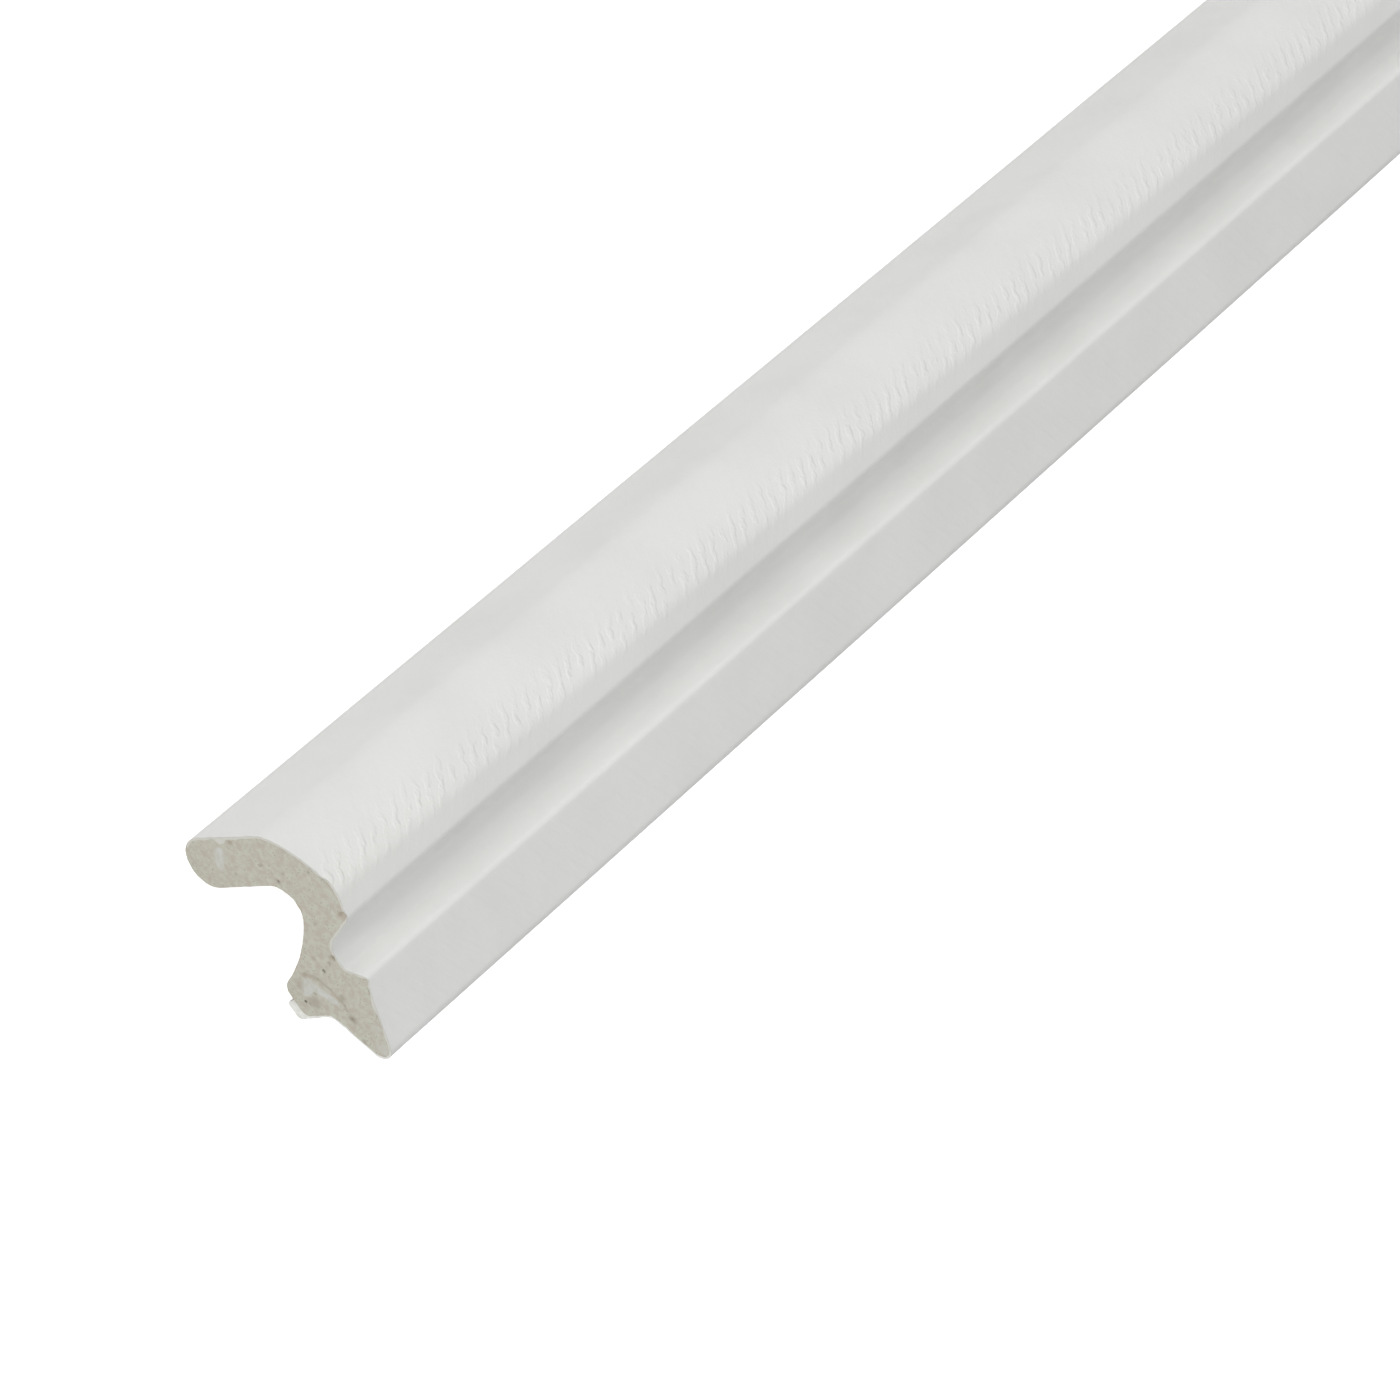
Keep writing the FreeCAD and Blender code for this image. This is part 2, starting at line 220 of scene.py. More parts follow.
@dataclass(frozen=True)
class Section:
    """The moulding's section. Its overall sizes come from the frame, and the others are its own."""

    width: float
    height: float
    bulb_radius: float = 4.1
    haunch_radius: float = 8.1
    haunch_inset: float = 3.0
    haunch_drop: float = 2.95
    crown_radius: float = 20.5
    arch_width: float = 15.1
    crest_radius: float = 3.2
    shoulder_run: float = 3.3
    shoulder_drop: float = 1.15
    shoulder_radius: float = 1.5
    groove_run: float = 5.65
    groove_depth: float = 9.1
    groove_floor: float = 1.45
    groove_wall_fillet: float = 2.8
    groove_slope_fillet: float = 0.6
    peak_run: float = 2.8
    peak_drop: float = 6.3
    peak_radius: float = 0.9
    tip_radius: float = 2.2
    tip_height: float = 10.0
    rebate_height: float = 7.6
    rebate_fillet: float = 2.4
    cavity_width: float = 15.8
    cavity_height: float = 15.9
    cavity_radius: float = 4.0
    cavity_inset: float = 2.3
    waist_radius: float = 28.5
    foot_width: float = 7.0
    lobe_radius: float = 2.2
    foot_corner_radius: float = 1.5
    foot_corner_inset: float = 0.9
    coat: float = 0.3
    coat_wrap: float = 30.0
    coat_stop: float = 30.0
    bead_depth: float = 1.7
    bead_width: float = 3.2
    bead_taper: float = 0.9
    bead_outer_radius: float = 1.05
    bead_inner_radius: float = 0.4

    @property
    def left(self) -> float:
        """Bulb's outer side."""
        return -self.width / 2

    @property
    def crest_x(self) -> float:
        """Where the arch is highest."""
        return self.left + self.arch_width

    @property
    def groove_x(self) -> float:
        """Centre of the groove's first fillet."""
        return self.crest_x + self.shoulder_run + self.groove_run

    @property
    def peak_x(self) -> float:
        """Where the small peak stands."""
        return self.groove_x + self.groove_floor + self.peak_run

    @property
    def foot_inner(self) -> float:
        """Foot's side towards the hollow."""
        return self.left + 2 * self.bulb_radius + self.cavity_width

    @property
    def foot_outer(self) -> float:
        """Foot's side towards the rebate."""
        return self.foot_inner + self.foot_width

    def bulb(self) -> Round:
        """The round that the arch springs from."""
        return Round(self.bulb_radius, Turn.OUTWARD, self.left + self.bulb_radius, self.bulb_radius)

    def show_face(self) -> list[Round]:
        """Rounds of the coated side.

        Returns:
            The rounds, from the bulb to the rebate.
        """
        top, groove_z = self.height, self.height - self.groove_depth
        out, fillet = Turn.OUTWARD, Turn.INWARD
        haunch_x = self.left + self.haunch_inset + self.haunch_radius
        shoulder_x = self.crest_x + self.shoulder_run
        slope_x = self.groove_x + self.groove_floor
        tip_x = self.width / 2 - self.tip_radius
        return [
            self.bulb(),
            Round(self.haunch_radius, out, haunch_x, top - self.haunch_drop - self.haunch_radius),
            Round(self.crown_radius, out),
            Round(self.crest_radius, out, self.crest_x, top - self.crest_radius),
            Round(self.shoulder_radius, out, shoulder_x, top - self.shoulder_drop - self.shoulder_radius),
            Round(self.groove_wall_fillet, fillet, self.groove_x, groove_z + self.groove_wall_fillet),
            Round(self.groove_slope_fillet, fillet, slope_x, groove_z + self.groove_slope_fillet),
            Round(self.peak_radius, out, self.peak_x, top - self.peak_drop - self.peak_radius),
            Round(self.tip_radius, out, tip_x, self.tip_height + self.tip_radius),
            self.rebate(0.0),
        ]

    def rebate(self, depth: float) -> Round:
        """The rebate's fillet, at a depth under its surface."""
        x, z = self.foot_outer + self.rebate_fillet, self.rebate_height - self.rebate_fillet
        return Round(self.rebate_fillet + depth, Turn.INWARD, x, z)

    def foot_corner(self) -> Round:
        """The core's corner above the bead."""
        radius = self.foot_corner_radius
        x = self.foot_outer - self.foot_corner_inset - radius
        return Round(radius, Turn.OUTWARD, x, self.bead_depth + radius)

    def back(self) -> list[Round]:
        """Rounds of the bare side.

        Returns:
            The rounds, from the foot through the hollow to the bulb.
        """
        cavity_x = self.left + 2 * self.bulb_radius + self.cavity_inset + self.cavity_radius
        lobe = self.lobe_radius
        return [
            self.foot_corner(),
            Round(lobe, Turn.OUTWARD, self.foot_inner + lobe, self.bead_depth + lobe),
            Round(self.waist_radius, Turn.INWARD),
            Round(self.cavity_radius, Turn.INWARD, cavity_x, self.cavity_height - self.cavity_radius),
            self.bulb(),
        ]

    def coat_trail(self) -> Trail:
        """The coat's outer surface."""
        ends = (180 + self.coat_wrap, 180 - self.coat_stop)
        return Outline(self.show_face(), ends).trail(FACE_STEP)

    def back_trail(self) -> Trail:
        """The bare surface, from the end of the bead's seat to the start of the coat."""
        rounds = [self.rebate(self.coat)] + self.back()
        return Outline(rounds, (180 - self.coat_stop, 180 + self.coat_wrap)).trail(BACK_STEP)

    def bead_trails(self) -> tuple[Trail, Trail]:
        """The bead's two surfaces.

        Returns:
            Its outer surface, and the seat on the core that it covers.
        """
        side = self.foot_outer - self.bead_taper
        wide, thin = self.bead_outer_radius, self.bead_inner_radius
        outer = [
            self.rebate(0.0),
            Round(wide, Turn.OUTWARD, side - wide, wide),
            Round(thin, Turn.OUTWARD, side - self.bead_width + thin, thin),
        ]
        seat = [self.rebate(self.coat), self.foot_corner()]
        start = 180 - self.coat_stop
        shown = Outline(outer, (start, 180.0)).trail(FACE_STEP)
        return shown, Outline(seat, (start, 270.0)).trail(FACE_STEP)


@dataclass(frozen=True)
class StrandShape:
    """Outlines of the two pale strands, placed from the bulb and from the foot."""

    section: Section
    streak_length: float = 2.6
    streak_radius: float = 0.5
    streak_lean: float = 43.0
    streak_height: float = 7.1
    hook_reach: float = 3.7
    hook_rise: float = 2.9
    hook_notch: float = 0.5
    hook_drop: float = 1.8
    hook_radius: float = 0.9
    hook_tail_radius: float = 0.35
    hook_height: float = 6.9
    hook_inset: float = 1.9

    def streak(self) -> Trail:
        """The strand in the bulb: two equal rounds joined by straight sides.

        Returns:
            Its closed outline.
        """
        lean = math.radians(self.streak_lean)
        x = self.section.left + self.section.bulb_radius
        shift_x = math.sin(lean) * self.streak_length / 2
        shift_z = math.cos(lean) * self.streak_length / 2
        rounds = [
            Round(self.streak_radius, Turn.OUTWARD, x - shift_x, self.streak_height + shift_z),
            Round(self.streak_radius, Turn.OUTWARD, x + shift_x, self.streak_height - shift_z),
        ]
        return Outline(rounds).trail(*STRAND_STEPS)

    def hook(self) -> Trail:
        """The strand in the foot: a bar with a tail, and a fillet where they meet.

        Returns:
            Its closed outline.
        """
        x, z = self.section.foot_inner + self.hook_inset, self.hook_height
        thin = self.hook_tail_radius
        rounds = [
            Round(thin, Turn.OUTWARD, x + self.hook_radius, z - self.hook_drop),
            Round(self.hook_radius, Turn.OUTWARD, x, z),
            Round(thin, Turn.OUTWARD, x + self.hook_reach, z + self.hook_rise),
            Round(thin, Turn.INWARD, x + self.hook_radius + self.hook_notch, z),
        ]
        return Outline(rounds).trail(*STRAND_STEPS)


# ---- random fields

HASH_PRIMES = (374761393, 668265263, 2147483647)
HASH_SEED_STEP = 1274126177
HASH_SPREAD = 1103515245
HASH_TOP = 0xFFFFFF


def value_noise(points: np.ndarray, pitch: float, seed: int) -> np.ndarray:
    """Smooth random field: hashed values at the corners of a lattice, blended by a smooth step.

    Args:
        points: one row per point.
        pitch: the lattice's spacing, in the points' unit.
        seed: picks the field.

    Returns:
        One value per point, from -1 to 1.
    """
    scaled = np.asarray(points, float) / pitch
    base = np.floor(scaled)
    part = scaled - base
    part = part * part * (3 - 2 * part)
    primes = np.array(HASH_PRIMES, dtype=np.uint64)[: scaled.shape[1]]
    total = np.zeros(len(scaled))
    for corner in itertools.product((0, 1), repeat=scaled.shape[1]):
        offset = np.array(corner)
        cell = (base + offset).astype(np.int64).astype(np.uint64)
        key = (cell * primes).sum(axis=1) + np.uint64(seed * HASH_SEED_STEP)
        key = (key ^ (key >> np.uint64(13))) * np.uint64(HASH_SPREAD)
        key = (key ^ (key >> np.uint64(16))) & np.uint64(HASH_TOP)
        total += (key / (HASH_TOP // 2) - 1.0) * np.prod(np.where(offset, part, 1 - part), axis=1)
    return total


def noise_pair(points: np.ndarray, pitch: float, seed: int) -> np.ndarray:
    """Two random fields side by side, as a shift of each point."""
    return np.column_stack([value_noise(points, pitch, seed), value_noise(points, pitch, seed + 1)])


def bowl(points: np.ndarray, x: float, z: float, radius: float) -> np.ndarray:
    """Round dip that falls smoothly from 1 at its centre to 0 at its rim."""
    distance = np.hypot(points[:, 0] - x, points[:, 1] - z) / radius
    return np.clip(1 - distance**2, 0, 1) ** 1.5


def near_line(distance: np.ndarray, reach: float) -> np.ndarray:
    """Falls evenly from 1 on a line to 0 at a reach from it."""
    return np.clip(1 - distance / reach, 0, 1)


def distance_to_path(points: np.ndarray, path: np.ndarray) -> np.ndarray:
    """Distance from each point to the nearest straight stretch of a path.

    Args:
        points: one row per point.
        path: the path's corners in order.

    Returns:
        One distance per point.
    """
    start, stop = path[:-1], path[1:]
    along = stop - start
    offset = points[:, None, :] - start[None, :, :]
    share = np.clip((offset * along).sum(2) / (along * along).sum(1), 0, 1)
    nearest = offset - share[:, :, None] * along
    return np.sqrt((nearest**2).sum(2)).min(1)


def closed(path: np.ndarray) -> np.ndarray:
    """A ring's points with the first one again at the end."""
    return np.vstack([path, path[:1]])


def inside(points: np.ndarray, loop: np.ndarray) -> np.ndarray:
    """Which points lie inside a closed loop: a ray to the right crosses it an odd number of times.

    Args:
        points: one row per point.
        loop: the loop's corners in order.

    Returns:
        True for each point inside.
    """
    x, z = points[:, :1], points[:, 1:]
    ax, az = loop[:, 0], loop[:, 1]
    bx, bz = np.roll(ax, -1), np.roll(az, -1)
    spans = (az > z) != (bz > z)
    level = np.where(bz == az, 1e-9, bz - az)
    crossing = ax + (z - az) * (bx - ax) / level
    return (spans & (x < crossing)).sum(1) % 2 == 1


def in_material(points: np.ndarray, rings: list[np.ndarray]) -> np.ndarray:
    """Which points lie inside the outer ring and outside every hole.

    Args:
        points: one row per point.
        rings: the outer ring first, then the holes.

    Returns:
        True for each point in the material.
    """
    keep = inside(points, rings[0])
    for hole in rings[1:]:
        keep &= ~inside(points, hole)
    return keep


# ---- meshes


def add_to_scene(name: str, data: bpy.types.ID | None) -> bpy.types.Object:
    """Makes an object of a mesh, a light or a camera, and puts it in the scene."""
    item = bpy.data.objects.new(name, data)
    bpy.context.scene.collection.objects.link(item)
    return item


def keep_numbers(mesh: bpy.types.Mesh, name: str, values: np.ndarray) -> None:
    """Keeps one number per point on the mesh, for its material to read."""
    layer = mesh.attributes.new(name, "FLOAT", "POINT")
    layer.data.foreach_set("value", values.astype(np.float32))


def read_mesh(mesh: bpy.types.Mesh) -> tuple[np.ndarray, np.ndarray]:
    """Reads back what the prism made.

    Args:
        mesh: the piece's mesh.

    Returns:
        The points in millimetres, and their sawn-face mask.
    """
    flat = np.empty(len(mesh.vertices) * 3, np.float32)
    mesh.vertices.foreach_get("co", flat)
    sawn = np.empty(len(mesh.vertices), np.float32)
    mesh.attributes["sawn"].data.foreach_get("value", sawn)
    return flat.reshape(-1, 3) / MM, sawn


# ---- sawn prisms


class End(Enum):
    """The two sawn ends, by the direction in which each faces."""

    NEAR = -1
    FAR = 1


@dataclass(frozen=True)
class Bite:
    """A place where a sawn edge broke away or was pushed in."""

    x: float
    z: float
    radius: float
    depth: float


@dataclass(frozen=True)
class SawnEnd:
    """How one sawn end differs from a clean plane. Pitches and depths are in millimetres.

    Attributes:
        end: which end it is.
        seed: picks its random fields.
        grain: depth of the foam's tearing.
        bites: places where core and coat broke away.
        pores: open pores of the core.
        pushed: places where the saw dragged the coat inwards.
        chipped: places where only the coat broke away.
    """

    COARSE_PITCH = 1.3
    FINE_PITCH = 0.42
    MEAN_SHARE = 1.6
    COARSE_SHARE = 0.9
    FINE_SHARE = 0.7
    SCALLOP_PITCH = 0.9
    SCALLOP_START = 0.25
    SCALLOP_DEPTH = 0.22
    COAT_SHARE = 1.2
    COAT_DEEPER = 1.15
    COAT_WIDER = 1.2
    DRAG_PITCH = 0.8
    DRAG_DEPTH = 0.07

    end: End
    seed: int
    grain: float = 0.05
    bites: tuple[Bite, ...] = ()
    pores: tuple[Bite, ...] = ()
    pushed: tuple[Bite, ...] = ()
    chipped: tuple[Bite, ...] = ()

    def core_depth(self, points: np.ndarray) -> np.ndarray:
        """Depth of the foam's sawn face: coarse and fine tearing, broken edges and open pores.

        Args:
            points: places on the section.

        Returns:
            One depth per place.
        """
        coarse = value_noise(points, self.COARSE_PITCH, self.seed)
        fine = value_noise(points, self.FINE_PITCH, self.seed + 1)
        depth = self.grain * (self.MEAN_SHARE + self.COARSE_SHARE * coarse + self.FINE_SHARE * fine)
        for bite in self.bites + self.pores:
            depth = depth + bite.depth * bowl(points, bite.x, bite.z, bite.radius)
        return depth

    def coat_depth(self, points: np.ndarray) -> np.ndarray:
        """Depth of the coat's sawn edge, which broke away in short scallops.

        Args:
            points: places on the section.

        Returns:
            One depth per place.
        """
        scallops = value_noise(points, self.SCALLOP_PITCH, self.seed + 2)
        scallops = np.clip(scallops - self.SCALLOP_START, 0, 1)
        depth = self.grain * self.COAT_SHARE + self.SCALLOP_DEPTH * scallops
        for bite in self.bites + self.chipped:
            dip = bowl(points, bite.x, bite.z, self.COAT_WIDER * bite.radius)
            depth = depth + self.COAT_DEEPER * bite.depth * dip
        return depth

    def drag(self, points: np.ndarray) -> np.ndarray:
        """How far the saw dragged the coat's inner line into the foam, at the very end.

        Args:
            points: places on the section.

        Returns:
            One distance per place, never outwards.
        """
        uneven = value_noise(points, self.DRAG_PITCH, self.seed + 3)
        amount = self.DRAG_DEPTH + self.DRAG_DEPTH * uneven
        for push in self.pushed:
            amount = amount + push.depth * bowl(points, push.x, push.z, push.radius)
        return np.clip(amount, 0.0, None)


@dataclass
class Loop:
    """One closed ring of a prism's section.

    Attributes:
        points: the ring, clockwise round material and the other way round a hole.
        normals: the direction that each point's surface faces.
        dragged: per point, the share of the saw's drag that moves it inwards.
    """

    points: np.ndarray
    normals: np.ndarray
    dragged: np.ndarray


@dataclass
class Prism:
    """A straight piece of one section with sawn ends.

    Point (i, j) of its grid is point j of the section at station i of the length. Near an end, the
    station moves in by the end's own depth, and the section by the saw's drag, both fading out over a
    few millimetres.

    Attributes:
        name: the piece's name.
        loops: the outer ring first, then the holes.
        ends: the near and the far end.
        length: the overall length in millimetres.
        depth_of: gives an end's depth at places on the section.
        waviness: how deep the surface's slow waves are between the ends, in millimetres.
    """

    FADE = 4.0
    END_STATIONS = (0.0, 0.12, 0.3, 0.55, 0.9, 1.4, 2.0, 2.8, 4.0, 6.0, 9.0, 13.0)
    MIDDLE_START = 18.0
    MIDDLE_COUNT = 74
    WAVE_PITCH = 23.0
    WAVE_SEED = 7
    CAP_PITCH = {End.NEAR: 0.26, End.FAR: 0.45}
    CAP_JITTER = 0.12
    CAP_SEED = 31
    CAP_CLEARANCE = 0.5
    CAP_CHUNK = 500
    CAP_MERGE = 1e-7
    SLIVER = 1e-9
    SHARP_ANGLE = 40

    name: str
    loops: list[Loop]
    ends: tuple[SawnEnd, SawnEnd]
    length: float
    depth_of: Callable[[SawnEnd, np.ndarray], np.ndarray] = SawnEnd.core_depth
    waviness: float = 0.0

    def _stations(self) -> np.ndarray:
        """Distances from the near end: close together near both ends, even between them.

        Returns:
            The distances in millimetres.
        """
        near = np.array(self.END_STATIONS)
        middle = np.linspace(self.MIDDLE_START, self.length - self.MIDDLE_START, self.MIDDLE_COUNT)
        return np.concatenate([near, middle, self.length - near[::-1]])

    def _grid(self, stations: np.ndarray) -> np.ndarray:
        """The section at every station, with the unevenness of the ends and of the surface.

        Args:
            stations: distances from the near end.

        Returns:
            The points, by station and by place round the section.
        """
        base = np.concatenate([loop.points for loop in self.loops])
        normals = np.concatenate([loop.normals for loop in self.loops])
        dragged = np.concatenate([loop.dragged for loop in self.loops])
        grid = np.empty((len(stations), len(base), 3))
        grid[:, :, 0::2] = base
        grid[:, :, 1] = (stations - self.length / 2)[:, None]
        closeness = np.zeros(len(stations))
        for end in self.ends:
            away = stations if end.end is End.NEAR else self.length - stations
            fade = near_line(away, self.FADE) ** 2
            grid[:, :, 1] -= end.end.value * fade[:, None] * self.depth_of(end, base)
            shift = (fade**2)[:, None] * (end.drag(base) * dragged)[None, :]
            grid[:, :, 0::2] -= shift[:, :, None] * normals
            closeness = np.maximum(closeness, fade)
        if self.waviness:
            spots = np.column_stack([np.repeat(stations, len(base)), np.tile(base, (len(stations), 1))])
            wave = self.waviness * value_noise(spots, self.WAVE_PITCH, self.WAVE_SEED)
            wave = wave.reshape(len(stations), len(base))
            inward = np.clip(wave - self.waviness, None, 0) * (1 - closeness)[:, None]
            grid[:, :, 0::2] += inward[:, :, None] * normals
        return grid

    def _lattice(self, rings: list[np.ndarray], pitch: float) -> np.ndarray:
        """Points of a triangular lattice inside the rings, a little off their places.

        Args:
            rings: the outer ring first, then the holes.
            pitch: the lattice's spacing.

        Returns:
            The points that stand clear of the rings.
        """
        low, high = rings[0].min(0), rings[0].max(0)
        rows = np.arange(low[1], high[1], pitch * math.sqrt(0.75))
        columns = np.arange(low[0], high[0], pitch)
        x = columns[None, :] + (np.arange(len(rows)) % 2)[:, None] * pitch / 2
        spots = np.column_stack([x.ravel(), np.repeat(rows, len(columns))])
        spots = spots + self.CAP_JITTER * pitch * noise_pair(spots, pitch, self.CAP_SEED)
        spots = spots[in_material(spots, rings)]
        edge = np.concatenate([closed(ring) for ring in rings])
        chunks = np.array_split(spots, max(1, len(spots) // self.CAP_CHUNK))
        gap = np.concatenate([distance_to_path(chunk, edge) for chunk in chunks])
        return spots[gap > self.CAP_CLEARANCE * pitch]

    def _cap(self, ring: np.ndarray, end: SawnEnd) -> tuple[np.ndarray, np.ndarray]:
        """Fills a sawn end: a lattice inside the rings, triangulated with their edges.

        Args:
            ring: the end's points on every loop.
            end: the end.

        Returns:
            The new inner points, and triangles over the ring's points followed by the new ones.
        """
        bounds = itertools.accumulate((len(loop.points) for loop in self.loops), initial=0)
        spans = list(itertools.pairwise(bounds))
        rings = [ring[a:b][:, [0, 2]] for a, b in spans]
        spots = self._lattice(rings, self.CAP_PITCH[end.end])
        flat = np.vstack([*rings, spots])
        edges = [(a + k, a + (k + 1) % (b - a)) for a, b in spans for k in range(b - a)]
        corners = [Vector(point) for point in flat.tolist()]
        _, _, faces, origins, _, _ = delaunay_2d_cdt(corners, edges, [], 0, self.CAP_MERGE, True)
        source = np.array([origin[0] for origin in origins])
        triangles = source[np.array([list(face) for face in faces])]
        triangles = triangles[in_material(flat[triangles].mean(1), rings)]
        first, second, third = (flat[triangles[:, k]] for k in range(3))
        (across, up), (over, rise) = (second - first).T, (third - first).T
        area = across * rise - over * up
        triangles, area = (values[np.abs(area) > self.SLIVER] for values in (triangles, area))
        turned = (area > 0) == (end.end is End.NEAR)
        triangles = np.where(turned[:, None], triangles, triangles[:, ::-1])
        y = end.end.value * (self.length / 2 - self.depth_of(end, spots))
        return np.column_stack([spots[:, 0], y, spots[:, 1]]), triangles

    def _walls(self, index: np.ndarray, stations: np.ndarray) -> tuple[np.ndarray, np.ndarray]:
        """Joins each station's rings to the next one's with four-sided faces.

        Args:
            index: every point's number, by station and by place round the section.
            stations: distances from the near end.

        Returns:
            The faces' corners, and each corner's distances round the ring and along the length.
        """
        quads, covers, start = [], [], 0
        near, far = index[:-1], index[1:]
        for loop in self.loops:
            count = len(loop.points)
            here = np.arange(start, start + count)
            after = np.roll(here, -1)
            sides = [near[:, here], near[:, after], far[:, after], far[:, here]]
            quads.append(np.stack(sides, 2).reshape(-1, 4))
            gaps = np.linalg.norm(np.roll(loop.points, -1, 0) - loop.points, axis=1)
            along = np.concatenate([[0.0], np.cumsum(gaps)])
            y = np.broadcast_to(stations[:, None], (len(stations), count))
            u0, u1 = (np.broadcast_to(side, y[1:].shape) for side in (along[:-1], along[1:]))
            corners = [(u0, y[:-1]), (u1, y[:-1]), (u1, y[1:]), (u0, y[1:])]
            covers.append(np.stack([np.stack(c, 2) for c in corners], 2).reshape(-1, 2))
            start += count
        return np.concatenate(quads), np.concatenate(covers)

    def build(self, finish: bpy.types.Material) -> bpy.types.Object:
        """Makes the mesh, its surface coordinates and its sawn-face mask.

        Args:
            finish: the piece's material.

        Returns:
            The piece's object, in metres, at the origin.
        """
        stations = self._stations()
        grid = self._grid(stations)
        across = grid.shape[1]
        walled = len(stations) * across
        index = np.arange(walled).reshape(len(stations), across)
        quads, cover = self._walls(index, stations)
        points, triangles, total = [grid.reshape(-1, 3)], [], walled
        for row, end in zip((0, -1), self.ends):
            extra, faces = self._cap(grid[row], end)
            on_ring = index[row][np.minimum(faces, across - 1)]
            triangles.append(np.where(faces < across, on_ring, faces - across + total))
            points.append(extra)
            total += len(extra)
        points, triangles = np.concatenate(points), np.concatenate(triangles)
        cover = np.concatenate([cover, points[triangles.ravel()][:, [0, 2]]])
        corners = np.concatenate([quads.ravel(), triangles.ravel()])
        starts = [np.arange(len(quads)) * 4, len(quads) * 4 + np.arange(len(triangles)) * 3]
        mesh = bpy.data.meshes.new(self.name)
        mesh.vertices.add(len(points))
        mesh.vertices.foreach_set("co", (points * MM).astype(np.float32).ravel())
        mesh.loops.add(len(corners))
        mesh.loops.foreach_set("vertex_index", corners.astype(np.int32))
        mesh.polygons.add(len(quads) + len(triangles))
        mesh.polygons.foreach_set("loop_start", np.concatenate(starts).astype(np.int32))
        layer = mesh.uv_layers.new(name="Surface")
        layer.data.foreach_set("uv", cover.astype(np.float32).ravel())
        mesh.update(calc_edges=True)
        sawn = np.zeros(len(points))
        sawn[:across] = sawn[walled - across :] = 1.0
        keep_numbers(mesh, "sawn", sawn)
        mesh.shade_smooth()
        mesh.set_sharp_from_angle(angle=math.radians(self.SHARP_ANGLE))
        mesh.validate()
        mesh.materials.append(finish)
        return add_to_scene(self.name, mesh)


# ---- node trees


def tone(red: int, green: int, blue: int) -> Colour:
    """A display colour as a shader takes it.

    Args:
        red: from 0 to 255.
        green: from 0 to 255.
        blue: from 0 to 255.

    Returns:
        The linear colour.
    """
    share = np.array([red, green, blue]) / 255
    line = np.where(share <= 0.04045, share / 12.92, ((share + 0.055) / 1.055) ** 2.4)
    return (*(float(v) for v in line), 1.0)


class Graph:
    """A node tree, with short calls that add nodes and wire them."""

    def __init__(self, tree: bpy.types.NodeTree) -> None:
        """Takes the tree to add to."""
        self.tree = tree

    def add(self, kind: str, inputs: dict | None = None, **settings: object) -> bpy.types.Node:
        """Adds a node.

        Args:
            kind: the node's type after "ShaderNode".
            inputs: a value or another node's socket for each input, by name or number.
            settings: the node's own properties.

        Returns:
            The new node.
        """
        node = self.tree.nodes.new("ShaderNode" + kind)
        for key, value in settings.items():
            setattr(node, key, value)
        for key, value in (inputs or {}).items():
            if isinstance(value, bpy.types.NodeSocket):
                self.tree.links.new(value, node.inputs[key])
            else:
                node.inputs[key].default_value = value
        return node

    def math(self, operation: str, *values: object) -> bpy.types.NodeSocket:
        """Adds a Math node and gives its result."""
        return self.add("Math", dict(enumerate(values)), operation=operation).outputs[0]

    def times(self, first: object, second: object) -> bpy.types.NodeSocket:
        """Multiplies two numbers."""
        return self.math("MULTIPLY", first, second)

    def band(
        self, value: object, low: float, high: float, start: float = 0.0, stop: float = 1.0
    ) -> bpy.types.NodeSocket:
        """Maps low to high onto start to stop, smoothly, and gives the result."""
        inputs = {"Value": value, "From Min": low, "From Max": high, "To Min": start, "To Max": stop}
        return self.add("MapRange", inputs, interpolation_type="SMOOTHSTEP").outputs["Result"]

    def mix(self, share: object, first: object, second: object) -> bpy.types.NodeSocket:
        """Mixes two colours and gives the result."""
        return self.add("Mix", {0: share, 6: first, 7: second}, data_type="RGBA").outputs[2]

    def noise(
        self, vector: object, scale: object, detail: float = 2.0, roughness: float = 0.5
    ) -> bpy.types.NodeSocket:
        """Adds a noise texture and gives its value."""
        inputs = {"Vector": vector, "Scale": scale, "Detail": detail, "Roughness": roughness}
        return self.add("TexNoise", inputs).outputs["Fac"]

    def attribute(self, name: str) -> bpy.types.NodeSocket:
        """A number that the mesh keeps per point."""
        return self.add("Attribute", attribute_name=name).outputs["Fac"]

    def place(self, group: bpy.types.NodeTree, inputs: dict) -> bpy.types.NodeOutputs:
        """Adds a node group with its own values and gives its outputs."""
        return self.add("Group", inputs, node_tree=group).outputs


class Group(Graph):
    """A shader node group that is being built."""

    def __init__(self, name: str, vector: str, numbers: dict[str, float], outputs: tuple[str, ...]) -> None:
        """Makes the group's sockets.

        Args:
            name: the group's name.
            vector: the name of its one vector input.
            numbers: the other inputs' names and defaults.
            outputs: the outputs' names. All of them are numbers.
        """
        super().__init__(bpy.data.node_groups.new(name, "ShaderNodeTree"))
        sockets = self.tree.interface
        sockets.new_socket(vector, in_out="INPUT", socket_type="NodeSocketVector")
        for key, value in numbers.items():
            socket = sockets.new_socket(key, in_out="INPUT", socket_type="NodeSocketFloat")
            socket.default_value = value
        for key in outputs:
            sockets.new_socket(key, in_out="OUTPUT", socket_type="NodeSocketFloat")
        self.given = self.tree.nodes.new("NodeGroupInput").outputs
        self.leave = self.tree.nodes.new("NodeGroupOutput")

    def close(self, **results: bpy.types.NodeSocket) -> bpy.types.NodeTree:
        """Wires the outputs by name and gives the finished tree."""
        for key, value in results.items():
            self.tree.links.new(value, self.leave.inputs[key])
        return self.tree


